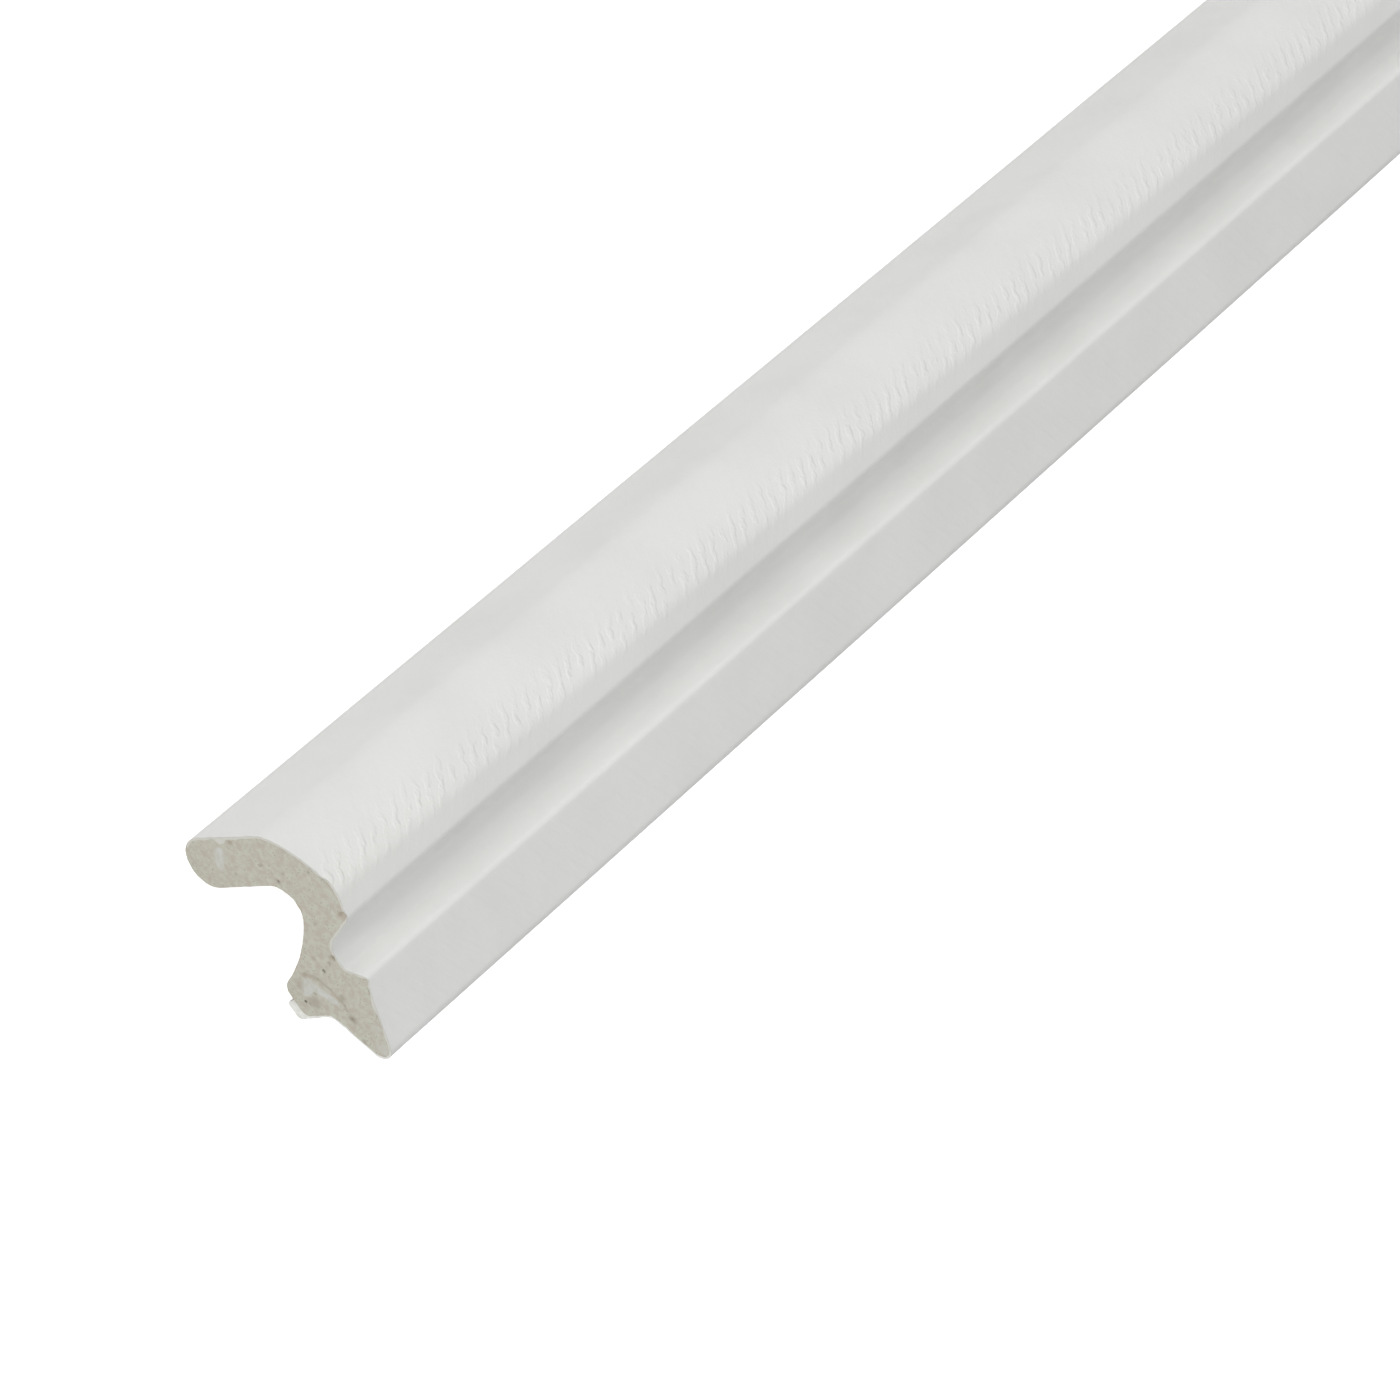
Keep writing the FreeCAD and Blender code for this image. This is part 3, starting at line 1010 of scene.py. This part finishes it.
def foam_grain_group() -> bpy.types.NodeTree:
    """Closed-cell foam: soft mottling, small darker cells and rare open pores.

    Returns:
        The group.
    """
    cell_rim: Band = (0.12, 0.38, 1.0, 0.0)
    cell_patches: Band = (0.42, 0.62)
    mottling: Band = (0.33, 0.68)
    fine_share, cell_share = 0.7, -0.6
    numbers = {"Mottle": 900.0, "Cell": 2600.0}
    group = Group("foam_grain", "Vector", numbers, ("Mottle", "Cells", "Height"))
    place, cell = group.given["Vector"], group.given["Cell"]
    broad = group.noise(place, group.given["Mottle"], 3.0, 0.6)
    fine = group.noise(place, cell, 2.0, 0.55)
    cells = group.add("TexVoronoi", {"Vector": place, "Scale": cell}).outputs["Distance"]
    speck = group.times(group.band(cells, *cell_rim), group.band(broad, *cell_patches))
    rough = group.math("ADD", group.times(fine, fine_share), group.times(speck, cell_share))
    return group.close(Mottle=group.band(broad, *mottling), Cells=speck, Height=rough)


def weave_group() -> bpy.types.NodeTree:
    """Embossed weave: slanting ridges, a wave along the surface turned by an angle and roughened by noise.

    The surface vector is in millimetres, across and along.

    Returns:
        The group.
    """
    wander_scale = 0.45
    ridge: Band = (-0.4, 1.0)
    numbers = {"Slant": 38.0, "Pitch": 2.1, "Wander": 0.5}
    group = Group("embossed_weave", "Surface", numbers, ("Height",))
    surface = group.given["Surface"]
    split = group.add("SeparateXYZ", {0: surface}).outputs
    angle = group.math("RADIANS", group.given["Slant"])
    across = group.times(split[0], group.math("SINE", angle))
    along = group.times(split[1], group.math("COSINE", angle))
    noise = group.math("SUBTRACT", group.noise(surface, wander_scale), 0.5)
    drift = group.times(noise, group.given["Wander"])
    turns = group.math("DIVIDE", group.math("ADD", across, along), group.given["Pitch"])
    wave = group.math("SINE", group.times(group.math("ADD", turns, drift), FULL_TURN))
    return group.close(Height=group.band(wave, *ridge))


def smudge_group() -> bpy.types.NodeTree:
    """Handling marks: faint uneven dullness with small sparse specks.

    Returns:
        The group.
    """
    dull_scale, speck_scale = 60.0, 70.0
    speck_rim: Band = (0.012, 0.03, 1.0, 0.0)
    dullness: Band = (0.35, 0.7)
    cells_without = 0.86
    group = Group("smudge", "Vector", {}, ("Dullness", "Specks"))
    place = group.given["Vector"]
    broad = group.noise(place, dull_scale, 5.0)
    cells = group.add("TexVoronoi", {"Vector": place, "Scale": speck_scale}).outputs
    pick = group.add("SeparateColor", {0: cells["Color"]}).outputs[0]
    speck = group.band(cells["Distance"], *speck_rim)
    speck = group.times(speck, group.math("GREATER_THAN", pick, cells_without))
    return group.close(Dullness=group.band(broad, *dullness), Specks=speck)


@dataclass(frozen=True)
class Effects:
    """The node groups that the finishes share."""

    grain: bpy.types.NodeTree
    weave: bpy.types.NodeTree
    smudge: bpy.types.NodeTree


# ---- finishes


class Paint(Graph):
    """A material's node tree, with its Principled shader and the piece's own coordinates."""

    def __init__(self, name: str) -> None:
        """Starts a material of that name."""
        self.material = bpy.data.materials.new(name)
        self.material.use_nodes = True
        super().__init__(self.material.node_tree)
        self.shader = self.tree.nodes["Principled BSDF"]
        self.here = self.add("TexCoord").outputs["Object"]

    def feed(self, socket: str, value: bpy.types.NodeSocket) -> None:
        """Wires a value to the shader."""
        self.tree.links.new(value, self.shader.inputs[socket])


@dataclass(frozen=True)
class Finish:
    """What every finish of the moulding has.

    Attributes:
        name: the material's name.
        bump: strength of the fine relief.
        bump_depth: its depth in metres.
        specular: the shader's specular level.
        roughness: the roughness where the finish is at its smoothest and at its dullest.
    """

    name: str
    bump: float
    bump_depth: float
    specular: float
    roughness: tuple[float, float]

    def _close(self, paint: Paint, colour: object, dull: object, height: object) -> bpy.types.Material:
        """Wires the results to the shader.

        Args:
            paint: the material's graph.
            colour: the base colour.
            dull: from 0 where it is smoothest to 1 where it is dullest.
            height: the fine relief.

        Returns:
            The finished material.
        """
        inputs = {"Strength": self.bump, "Distance": self.bump_depth, "Height": height}
        relief = paint.add("Bump", inputs)
        paint.feed("Base Color", colour)
        paint.feed("Roughness", paint.band(dull, 0.0, 1.0, *self.roughness))
        paint.feed("Normal", relief.outputs["Normal"])
        paint.shader.inputs["Specular IOR Level"].default_value = self.specular
        return paint.material


@dataclass(frozen=True)
class FoamFinish(Finish):
    """Foamed core: mottled and porous where it is sawn, with a smoother skin elsewhere."""

    name: str = "foamed_core"
    bump: float = 0.55
    bump_depth: float = 0.00016
    specular: float = 0.25
    roughness: tuple[float, float] = (0.78, 0.92)
    base: Colour = tone(199, 197, 184)
    warm: Colour = tone(189, 181, 168)
    cool: Colour = tone(197, 199, 186)
    dark: Colour = tone(138, 126, 108)
    brown: Colour = tone(134, 116, 92)
    pale: Colour = tone(206, 206, 200)
    # Painted shade: the near-black tone painted into the open pores, where shade falls inside them.
    pore_shade: Colour = tone(72, 68, 58)
    mottle_scale: float = 900.0
    cell_scale: float = 2000.0
    mottle_share: float = 0.6
    patches: Band = (0.32, 0.68)
    sawn_specks: Band = (0.2, 1.0, 0.12, 0.48)
    sawn_relief: Band = (0.1, 0.9, 0.3, 1.0)
    ragged_shade: Band = (0.3, 0.6, 0.5, 1.0)
    ragged_stain: Band = (0.3, 0.65, 0.35, 1.0)

    def build(self, effects: Effects) -> bpy.types.Material:
        """Makes the material.

        Args:
            effects: the shared node groups.

        Returns:
            The material, which reads the mesh's numbers for sawn faces, pale patches, stains, shade and the
            painted shade in the open pores.
        """
        paint = Paint(self.name)
        scales = {"Mottle": self.mottle_scale, "Cell": self.cell_scale}
        grain = paint.place(effects.grain, {"Vector": paint.here, **scales})
        patch = paint.noise(paint.here, self.mottle_scale, 3.0)
        sawn = paint.attribute("sawn")
        colour = paint.mix(paint.band(patch, *self.patches), self.warm, self.cool)
        colour = paint.mix(paint.times(grain["Mottle"], self.mottle_share), colour, self.base)
        speck = paint.times(grain["Cells"], paint.band(sawn, *self.sawn_specks))
        colour = paint.mix(speck, colour, self.dark)
        colour = paint.mix(paint.attribute("pale"), colour, self.pale)
        shade = paint.times(paint.attribute("shade"), paint.band(patch, *self.ragged_shade))
        colour = paint.mix(shade, colour, self.dark)
        stain = paint.times(paint.attribute("stain"), paint.band(patch, *self.ragged_stain))
        colour = paint.mix(stain, colour, self.brown)
        # Painted shade: darkens the open pores of the sawn face.
        colour = paint.mix(paint.attribute("pore_shade"), colour, self.pore_shade)
        height = paint.times(grain["Height"], paint.band(sawn, *self.sawn_relief))
        return self._close(paint, colour, grain["Mottle"], height)


@dataclass(frozen=True)
class StrandFinish(Finish):
    """Pale strand in the core: denser foam with less speckle."""

    name: str = "pale_strand"
    bump: float = 0.4
    bump_depth: float = 0.0001
    specular: float = 0.3
    roughness: tuple[float, float] = (0.7, 0.85)
    base: Colour = tone(207, 208, 203)
    other: Colour = tone(197, 197, 187)
    mottle_scale: float = 800.0
    cell_scale: float = 2600.0

    def build(self, effects: Effects) -> bpy.types.Material:
        """Makes the material.

        Args:
            effects: the shared node groups.

        Returns:
            The material.
        """
        paint = Paint(self.name)
        scales = {"Mottle": self.mottle_scale, "Cell": self.cell_scale}
        grain = paint.place(effects.grain, {"Vector": paint.here, **scales})
        colour = paint.mix(grain["Mottle"], self.base, self.other)
        return self._close(paint, colour, grain["Mottle"], grain["Height"])


@dataclass(frozen=True)
class CoatFinish(Finish):
    """Matt white coat with an embossed weave that shows most beside the crest."""

    name: str = "white_coat"
    bump: float = 0.6
    bump_depth: float = 0.0002
    specular: float = 0.35
    roughness: tuple[float, float] = (0.5, 0.62)
    base: Colour = tone(240, 240, 238)
    dull: Colour = tone(236, 237, 234)
    tint: Colour = tone(234, 232, 222)
    speck: Colour = tone(140, 128, 110)
    cut: Colour = tone(209, 208, 200)
    fine_scale: float = 1500.0
    fine_share: float = 0.22
    worn_scale: float = 0.42
    worn: Band = (0.38, 0.6, 0.2, 1.15)
    tinted: Band = (0.42, 0.6)
    speck_share: float = 0.7
    arch_slant: float = 38.0
    arch_pitch: float = 1.95
    arch_wander: float = 0.9
    fascia_slant: float = -36.0
    fascia_pitch: float = 2.0

    def build(self, effects: Effects) -> bpy.types.Material:
        """Makes the material.

        Args:
            effects: the shared node groups.

        Returns:
            The material, which reads the mesh's surface coordinates and its cut, arch, fascia and tint
            numbers.
        """
        paint = Paint(self.name)
        surface = paint.add("UVMap", uv_map="Surface").outputs["UV"]
        smudge = paint.place(effects.smudge, {"Vector": paint.here})
        fine = paint.noise(paint.here, self.fine_scale, 3.0)
        leaning = {"Slant": self.arch_slant, "Pitch": self.arch_pitch, "Wander": self.arch_wander}
        falling = {"Slant": self.fascia_slant, "Pitch": self.fascia_pitch}
        ridges = []
        for lay, part in ((leaning, "arch"), (falling, "fascia")):
            weave = paint.place(effects.weave, {"Surface": surface, **lay})
            ridges.append(paint.times(weave["Height"], paint.attribute(part)))
        worn = paint.band(paint.noise(surface, self.worn_scale, 3.0), *self.worn)
        height = paint.times(paint.math("ADD", *ridges), worn)
        height = paint.math("ADD", height, paint.times(fine, self.fine_share))
        colour = paint.mix(smudge["Dullness"], self.base, self.dull)
        tinted = paint.times(paint.attribute("tint"), paint.band(fine, *self.tinted))
        colour = paint.mix(tinted, colour, self.tint)
        colour = paint.mix(paint.attribute("cut"), colour, self.cut)
        colour = paint.mix(paint.times(smudge["Specks"], self.speck_share), colour, self.speck)
        return self._close(paint, colour, smudge["Dullness"], height)


@dataclass(frozen=True)
class BeadFinish(Finish):
    """Thick end of the coat: off-white and a little uneven along its length."""

    name: str = "bead_coat"
    bump: float = 0.4
    bump_depth: float = 0.0001
    specular: float = 0.4
    roughness: tuple[float, float] = (0.42, 0.6)
    base: Colour = tone(241, 241, 237)
    dull: Colour = tone(229, 229, 222)
    drawn_out: tuple[float, float, float] = (1.0, 0.05, 1.0)
    line_scale: float = 900.0
    lines: Band = (0.4, 0.65)

    def build(self, effects: Effects) -> bpy.types.Material:
        """Makes the material.

        Args:
            effects: the shared node groups.

        Returns:
            The material.
        """
        paint = Paint(self.name)
        smudge = paint.place(effects.smudge, {"Vector": paint.here})
        streaks = paint.add("Mapping", {"Vector": paint.here, "Scale": self.drawn_out}).outputs[0]
        lines = paint.noise(streaks, self.line_scale, 3.0)
        colour = paint.mix(paint.band(lines, *self.lines), self.base, self.dull)
        return self._close(paint, colour, smudge["Dullness"], lines)


# ---- pieces


@dataclass(frozen=True)
class Spot:
    """A round patch of another tone on the sawn face."""

    x: float
    z: float
    radius: float
    strength: float


@dataclass
class Piece:
    """What every piece of the moulding takes: the section, its two ends and its length."""

    section: Section
    ends: tuple[SawnEnd, SawnEnd]
    length: float


@dataclass
class FoamCore(Piece):
    """The foamed core, with channels for the two strands."""

    strands: StrandShape
    shades: tuple[Spot, ...] = (
        Spot(8.5, 5.6, 1.5, 0.45),
        Spot(5.3, 5.2, 1.3, 0.30),
        Spot(7.3, 7.0, 0.55, 0.60),
        Spot(12.9, 10.9, 1.0, 0.70),
        Spot(9.5, 11.8, 0.9, 0.45),
        Spot(16.3, 9.9, 0.7, 0.50),
        Spot(7.8, 3.9, 0.5, 0.85),
        Spot(8.4, 4.6, 0.45, 0.70),
        Spot(-8.7, 22.7, 0.5, 0.60),
        Spot(-10.0, 17.4, 0.45, 0.55),
        Spot(-9.3, 15.5, 0.6, 0.50),
        Spot(-12.5, 14.4, 0.5, 0.50),
        Spot(-17.6, 4.6, 0.5, 0.45),
        Spot(-12.7, 8.3, 0.5, 0.45),
        Spot(-1.7, 16.8, 0.5, 0.45),
        Spot(2.6, 11.8, 0.5, 0.45),
    )
    stains: tuple[Spot, ...] = (
        Spot(-17.2, 11.2, 0.6, 0.60),
        Spot(3.6, 15.2, 0.6, 0.75),
        Spot(-1.4, 23.0, 0.5, 0.95),
        Spot(4.2, 14.0, 0.6, 0.50),
        Spot(4.4, 7.6, 0.8, 0.55),
    )
    pales: tuple[Spot, ...] = (
        Spot(18.6, 12.6, 1.9, 0.55),
        Spot(15.4, 14.2, 1.4, 0.40),
        Spot(-2.1, 21.9, 0.45, 1.0),
        Spot(11.0, 13.5, 1.3, 0.20),
    )
    stain_path: tuple[tuple[float, float], ...] = (
        (4.4, 7.6), (5.0, 8.8), (5.9, 9.7), (7.0, 10.3), (8.4, 10.7), (9.8, 11.1), (11.6, 10.9)
    )
    stain_reach: float = 0.42
    stain_share: float = 0.5
    ragged_pitch: float = 0.7
    ragged_reach: float = 0.22
    ragged_seed: int = 51
    streak_halo: float = 0.55
    hook_halo: float = 0.5
    halo_share: float = 0.85
    # Width, as a share of each pore's radius, and strength of the painted shade in the open pores.
    pore_shade_width: float = 0.9
    pore_shade_share: float = 1.4

    def build(self, finish: bpy.types.Material) -> bpy.types.Object:
        """Builds the core and paints the tones of its sawn faces.

        Args:
            finish: its material.

        Returns:
            The piece.
        """
        coated = self.section.coat_trail()
        bare = self.section.back_trail()
        outer = Loop(
            np.vstack([coated.inside(self.section.coat), bare.points[1:]]),
            np.vstack([coated.normals, bare.normals[1:]]),
            np.concatenate([np.ones(len(coated.points)), np.zeros(len(bare.points) - 1)]),
        )
        holes = [
            Loop(trail.points[::-1], -trail.normals[::-1], np.zeros(len(trail.points)))
            for trail in (self.strands.streak(), self.strands.hook())
        ]
        piece = Prism("core_sawn", [outer, *holes], self.ends, self.length).build(finish)
        self._paint(piece.data)
        return piece

    def _paint(self, mesh: bpy.types.Mesh) -> None:
        """Keeps each point's tones on the mesh, only on the sawn faces.

        Args:
            mesh: the core's mesh.
        """
        points, sawn = read_mesh(mesh)
        spots = points[:, [0, 2]].astype(float)
        near = sawn * (points[:, 1] < 0)
        ragged = spots + self.ragged_reach * noise_pair(spots, self.ragged_pitch, self.ragged_seed)

        def strongest(places: tuple[Spot, ...]) -> np.ndarray:
            """Strongest patch at each point."""
            return np.max([s.strength * bowl(ragged, s.x, s.z, s.radius) for s in places], axis=0)

        pale = strongest(self.pales)
        halos = ((self.strands.streak(), self.streak_halo), (self.strands.hook(), self.hook_halo))
        for trail, reach in halos:
            gap = distance_to_path(ragged, closed(trail.points))
            pale = np.maximum(pale, self.halo_share * near_line(gap, reach))
        gap = distance_to_path(ragged, np.array(self.stain_path))
        stain = np.maximum(self.stain_share * near_line(gap, self.stain_reach), strongest(self.stains))
        # Painted shade inside each open pore of the near end, sized from the pore's radius.
        pores = [bowl(spots, p.x, p.z, self.pore_shade_width * p.radius) for p in self.ends[0].pores]
        keep_numbers(mesh, "pale", np.clip(pale, 0, 1) * sawn)
        keep_numbers(mesh, "stain", stain * near)
        keep_numbers(mesh, "shade", strongest(self.shades) * near)
        keep_numbers(mesh, "pore_shade", np.clip(self.pore_shade_share * np.max(pores, axis=0), 0, 1) * near)


@dataclass
class FaceCoat(Piece):
    """The thin white coat over the show face. Places and reaches are in millimetres."""

    waviness: float = 0.03
    weave_left: float = 5.5
    weave_left_fade: float = 3.5
    weave_right: float = 1.6
    weave_right_fade: float = 3.0
    arch_ends: float = 5.0
    arch_least: float = 0.06
    arch_more: float = 0.56
    fascia_starts: float = 0.6
    fascia_strength: float = 0.24
    tint_length: float = 42.0
    tint_shift: float = 0.5
    tint_reach: float = 3.2
    tint_strength: float = 0.45
    cut_above_tip: float = 1.5
    cut_fade: float = 2.5

    def build(self, finish: bpy.types.Material) -> bpy.types.Object:
        """Builds the coat and marks where its weave, its tint and its cut rim show.

        Args:
            finish: its material.

        Returns:
            The piece.
        """
        trail = self.section.coat_trail()
        count = len(trail.points)
        loop = Loop(
            np.vstack([trail.points, trail.inside(self.section.coat)[::-1]]),
            np.vstack([trail.normals, trail.normals[::-1]]),
            np.concatenate([np.zeros(count), np.ones(count)]),
        )
        prism = Prism("coat_white", [loop], self.ends, self.length, SawnEnd.coat_depth, self.waviness)
        piece = prism.build(finish)
        self._paint(piece.data)
        return piece

    def _paint(self, mesh: bpy.types.Mesh) -> None:
        """Keeps, per point, how strongly each weave, the tint and the cut rim show.

        Args:
            mesh: the coat's mesh.
        """
        points, sawn = read_mesh(mesh)
        x, y, z = points.T
        crest, peak = self.section.crest_x, self.section.peak_x
        left = np.clip((x - crest + self.weave_left) / self.weave_left_fade, 0, 1)
        right = np.clip((crest + self.weave_right - x) / self.weave_right_fade, 0, 1)
        arch = np.where(x < crest + self.arch_ends, self.arch_least + self.arch_more * left * right, 0.0)
        fascia = np.where(x > peak + self.fascia_starts, self.fascia_strength, 0.0)
        tint = near_line(y + self.length / 2, self.tint_length)
        tint = tint * near_line(np.abs(x - crest + self.tint_shift), self.tint_reach)
        above = z - self.section.tip_height - self.cut_above_tip
        upper = np.where(x < 0, 1.0, np.clip(above / self.cut_fade, 0, 1))
        keep_numbers(mesh, "cut", sawn * upper)
        keep_numbers(mesh, "arch", arch)
        keep_numbers(mesh, "fascia", fascia)
        keep_numbers(mesh, "tint", self.tint_strength * tint)


@dataclass
class FootBead(Piece):
    """The thick end of the coat, under the foot."""

    def build(self, finish: bpy.types.Material) -> bpy.types.Object:
        """Builds the bead.

        Args:
            finish: its material.

        Returns:
            The piece.
        """
        outer, seat = self.section.bead_trails()
        corner = np.array([[outer.points[-1, 0], seat.points[-1, 1]]])
        inwards = np.array([[-1.0, 0.0]])
        loop = Loop(
            np.vstack([outer.points, corner, seat.points[::-1]]),
            np.vstack([outer.normals, inwards, -seat.normals[::-1]]),
            np.zeros(len(outer.points) + 1 + len(seat.points)),
        )
        return Prism("bead_white", [loop], self.ends, self.length, SawnEnd.coat_depth).build(finish)


@dataclass
class Strand(Piece):
    """A pale strand of the core's foam."""

    name: str
    trail: Trail

    def build(self, finish: bpy.types.Material) -> bpy.types.Object:
        """Builds the strand in its material, and returns it."""
        loop = Loop(self.trail.points, self.trail.normals, np.zeros(len(self.trail.points)))
        return Prism(self.name, [loop], self.ends, self.length).build(finish)


@dataclass
class Moulding:
    """The whole length: core, coat, bead and strands, at the frame's size."""

    near: SawnEnd = SawnEnd(
        End.NEAR,
        seed=11,
        bites=(
            Bite(-1.2, 23.3, 0.8, 0.50),
            Bite(3.6, 15.3, 0.7, 0.30),
            Bite(-17.1, 11.4, 0.5, 0.30),
            Bite(8.6, 18.6, 0.7, 0.25),
            Bite(1.9, 18.6, 0.8, 0.25),
        ),
        pores=(Bite(4.87, 11.8, 0.34, 0.6), Bite(-9.3, 15.6, 0.2, 0.3), Bite(7.8, 3.9, 0.22, 0.3)),
        pushed=(
            Bite(-18.2, 9.7, 1.4, 0.85),
            Bite(-17.0, 12.8, 0.9, 0.25),
            Bite(12.4, 16.6, 1.6, 0.30),
            Bite(1.4, 19.4, 1.0, 0.30),
        ),
        chipped=(Bite(-6.4, 24.9, 0.8, 0.25), Bite(5.4, 16.8, 0.6, 0.3)),
    )
    far: SawnEnd = SawnEnd(
        End.FAR,
        seed=29,
        bites=(Bite(-12.0, 21.3, 0.9, 0.4), Bite(8.6, 18.6, 0.8, 0.4), Bite(16.0, 9.4, 0.8, 0.3)),
        pores=(Bite(-3.0, 20.4, 0.3, 0.4), Bite(10.0, 12.5, 0.26, 0.4)),
        pushed=(Bite(-16.6, 15.2, 1.2, 0.4), Bite(2.8, 16.2, 0.9, 0.3)),
        chipped=(Bite(-18.9, 8.2, 0.7, 0.4),),
    )

    def build(self) -> None:
        """Builds every piece, rides it on the part's body and reports it."""
        low, high = (Vector(corner) / MM for corner in CAD_BOX)
        section = Section(width=high.x - low.x, height=high.z - low.z)
        strands = StrandShape(section)
        share = (section, (self.near, self.far), high.y - low.y)
        effects = Effects(foam_grain_group(), weave_group(), smudge_group())
        core = FoamCore(*share, strands).build(FoamFinish().build(effects))
        coat = FaceCoat(*share).build(CoatFinish().build(effects))
        bead = FootBead(*share).build(BeadFinish().build(effects))
        pale = StrandFinish().build(effects)
        streak = Strand(*share, "streak_in_bulb", strands.streak()).build(pale)
        hook = Strand(*share, "hook_in_foot", strands.hook()).build(pale)
        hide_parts("foam_core")
        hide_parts("face_coat")
        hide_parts("foot_bead")
        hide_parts("bulb_strand")
        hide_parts("foot_strand")
        for piece in (core, coat, bead, streak, hook):
            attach(piece, "root")
            mesh = piece.data
            LOG.info("%s: %d points, %d faces", piece.name, len(mesh.vertices), len(mesh.polygons))


# ---- studio


@dataclass
class Camera:
    """Where the camera stands, by the point it looks at, in millimetres and degrees."""

    aim: tuple[float, float, float] = (3.93, -149.14, 50.65)
    distance: float = 772.1
    heading: float = 13.0  # from +Y towards +X
    drop: float = 50.475  # below the horizon
    roll: float = 65.33
    lens: float = 143.85
    sensor: float = 36.0
    clip: tuple[float, float] = (0.05, 20.0)  # in metres

    def build(self) -> None:
        """Makes the scene's camera."""
        heading, drop, roll = (math.radians(v) for v in (self.heading, self.drop, self.roll))
        level_reach = math.cos(drop)
        forward = Vector((math.sin(heading) * level_reach, math.cos(heading) * level_reach, -math.sin(drop)))
        level = forward.cross(Vector((0, 0, 1))).normalized()
        upright = level.cross(forward)
        right = level * math.cos(roll) + upright * math.sin(roll)
        top = upright * math.cos(roll) - level * math.sin(roll)
        data = bpy.data.cameras.new("camera")
        data.lens, data.sensor_width = self.lens, self.sensor
        data.clip_start, data.clip_end = self.clip
        camera = add_to_scene("camera", data)
        place = Matrix.Translation((Vector(self.aim) - forward * self.distance) * MM)
        camera.matrix_world = place @ Matrix((right, top, -forward)).transposed().to_4x4()
        bpy.context.scene.camera = camera


@dataclass(frozen=True)
class Lamp:
    """A square soft light that faces the moulding, by its watts and its place in metres."""

    name: str
    power: float
    size: float
    place: tuple[float, float, float]

    def build(self) -> None:
        """Makes the light."""
        light = bpy.data.lights.new(self.name, "AREA")
        light.shape, light.size, light.energy = "SQUARE", self.size, self.power
        lamp = add_to_scene(self.name, light)
        lamp.location = self.place
        lamp.rotation_euler = (-Vector(self.place)).to_track_quat("-Z", "Y").to_euler()


@dataclass
class Studio:
    """Pale floor and soft light."""

    floor_size: float = 30.0
    floor_cells: int = 8
    floor_gap: float = 0.02  # in millimetres
    floor_tone: float = 0.78
    floor_cloud: float = 0.02
    cloud_scale: float = 2.0
    floor_roughness: float = 0.9
    floor_glow: float = 0.9
    sky: float = 0.373
    white: Colour = (1.0, 1.0, 1.0, 1.0)
    lamps: tuple[Lamp, ...] = (
        Lamp("key", 15.0, 1.6, (-1.55, 0.3, 1.81)),
        Lamp("top", 4.6, 1.6, (-0.9, 0.3, 2.2)),
        Lamp("side", 6.3, 1.6, (2.0, -0.2, 1.15)),
        Lamp("front", 23.0, 1.6, (-0.3, -2.1, 1.0)),
    )

    def build(self) -> None:
        """Makes the floor, the world and the lights."""
        self._floor()
        world = bpy.data.worlds.new("soft_world")
        world.use_nodes = True
        background = world.node_tree.nodes["Background"]
        background.inputs["Color"].default_value = self.white
        background.inputs["Strength"].default_value = self.sky
        bpy.context.scene.world = world
        for lamp in self.lamps:
            lamp.build()
        view = bpy.context.scene.view_settings
        view.view_transform, view.look, view.exposure, view.gamma = "Standard", "None", 0.0, 1.0

    def _floor(self) -> None:
        """A wide pale sheet under the moulding, which looks brighter than the light that it throws back."""
        steps = np.linspace(-self.floor_size / 2, self.floor_size / 2, self.floor_cells + 1)
        x, y = (grid.ravel() for grid in np.meshgrid(steps, steps))
        z = np.full(len(x), CAD_BOX[0].z - self.floor_gap * MM)
        index = np.arange(len(x)).reshape(len(steps), len(steps))
        sides = [index[:-1, :-1], index[:-1, 1:], index[1:, 1:], index[1:, :-1]]
        mesh = bpy.data.meshes.new("floor")
        mesh.from_pydata(np.column_stack([x, y, z]).tolist(), [], np.stack(sides, 2).reshape(-1, 4).tolist())
        floor = add_to_scene("floor", mesh)
        paint = Paint("pale_floor")
        low, high = ((v, v, v, 1.0) for v in (self.floor_tone, self.floor_tone + self.floor_cloud))
        paint.feed("Base Color", paint.mix(paint.noise(paint.here, self.cloud_scale), low, high))
        paint.shader.inputs["Roughness"].default_value = self.floor_roughness
        paint.shader.inputs["Emission Color"].default_value = self.white
        seen = paint.add("LightPath").outputs["Is Camera Ray"]
        paint.feed("Emission Strength", paint.times(seen, self.floor_glow))
        mesh.materials.append(paint.material)


def main() -> None:
    logging.basicConfig(level=logging.INFO, format="%(name)s: %(message)s")
    Moulding().build()
    Studio().build()
    Camera().build()


if __name__ == "__main__":
    main()
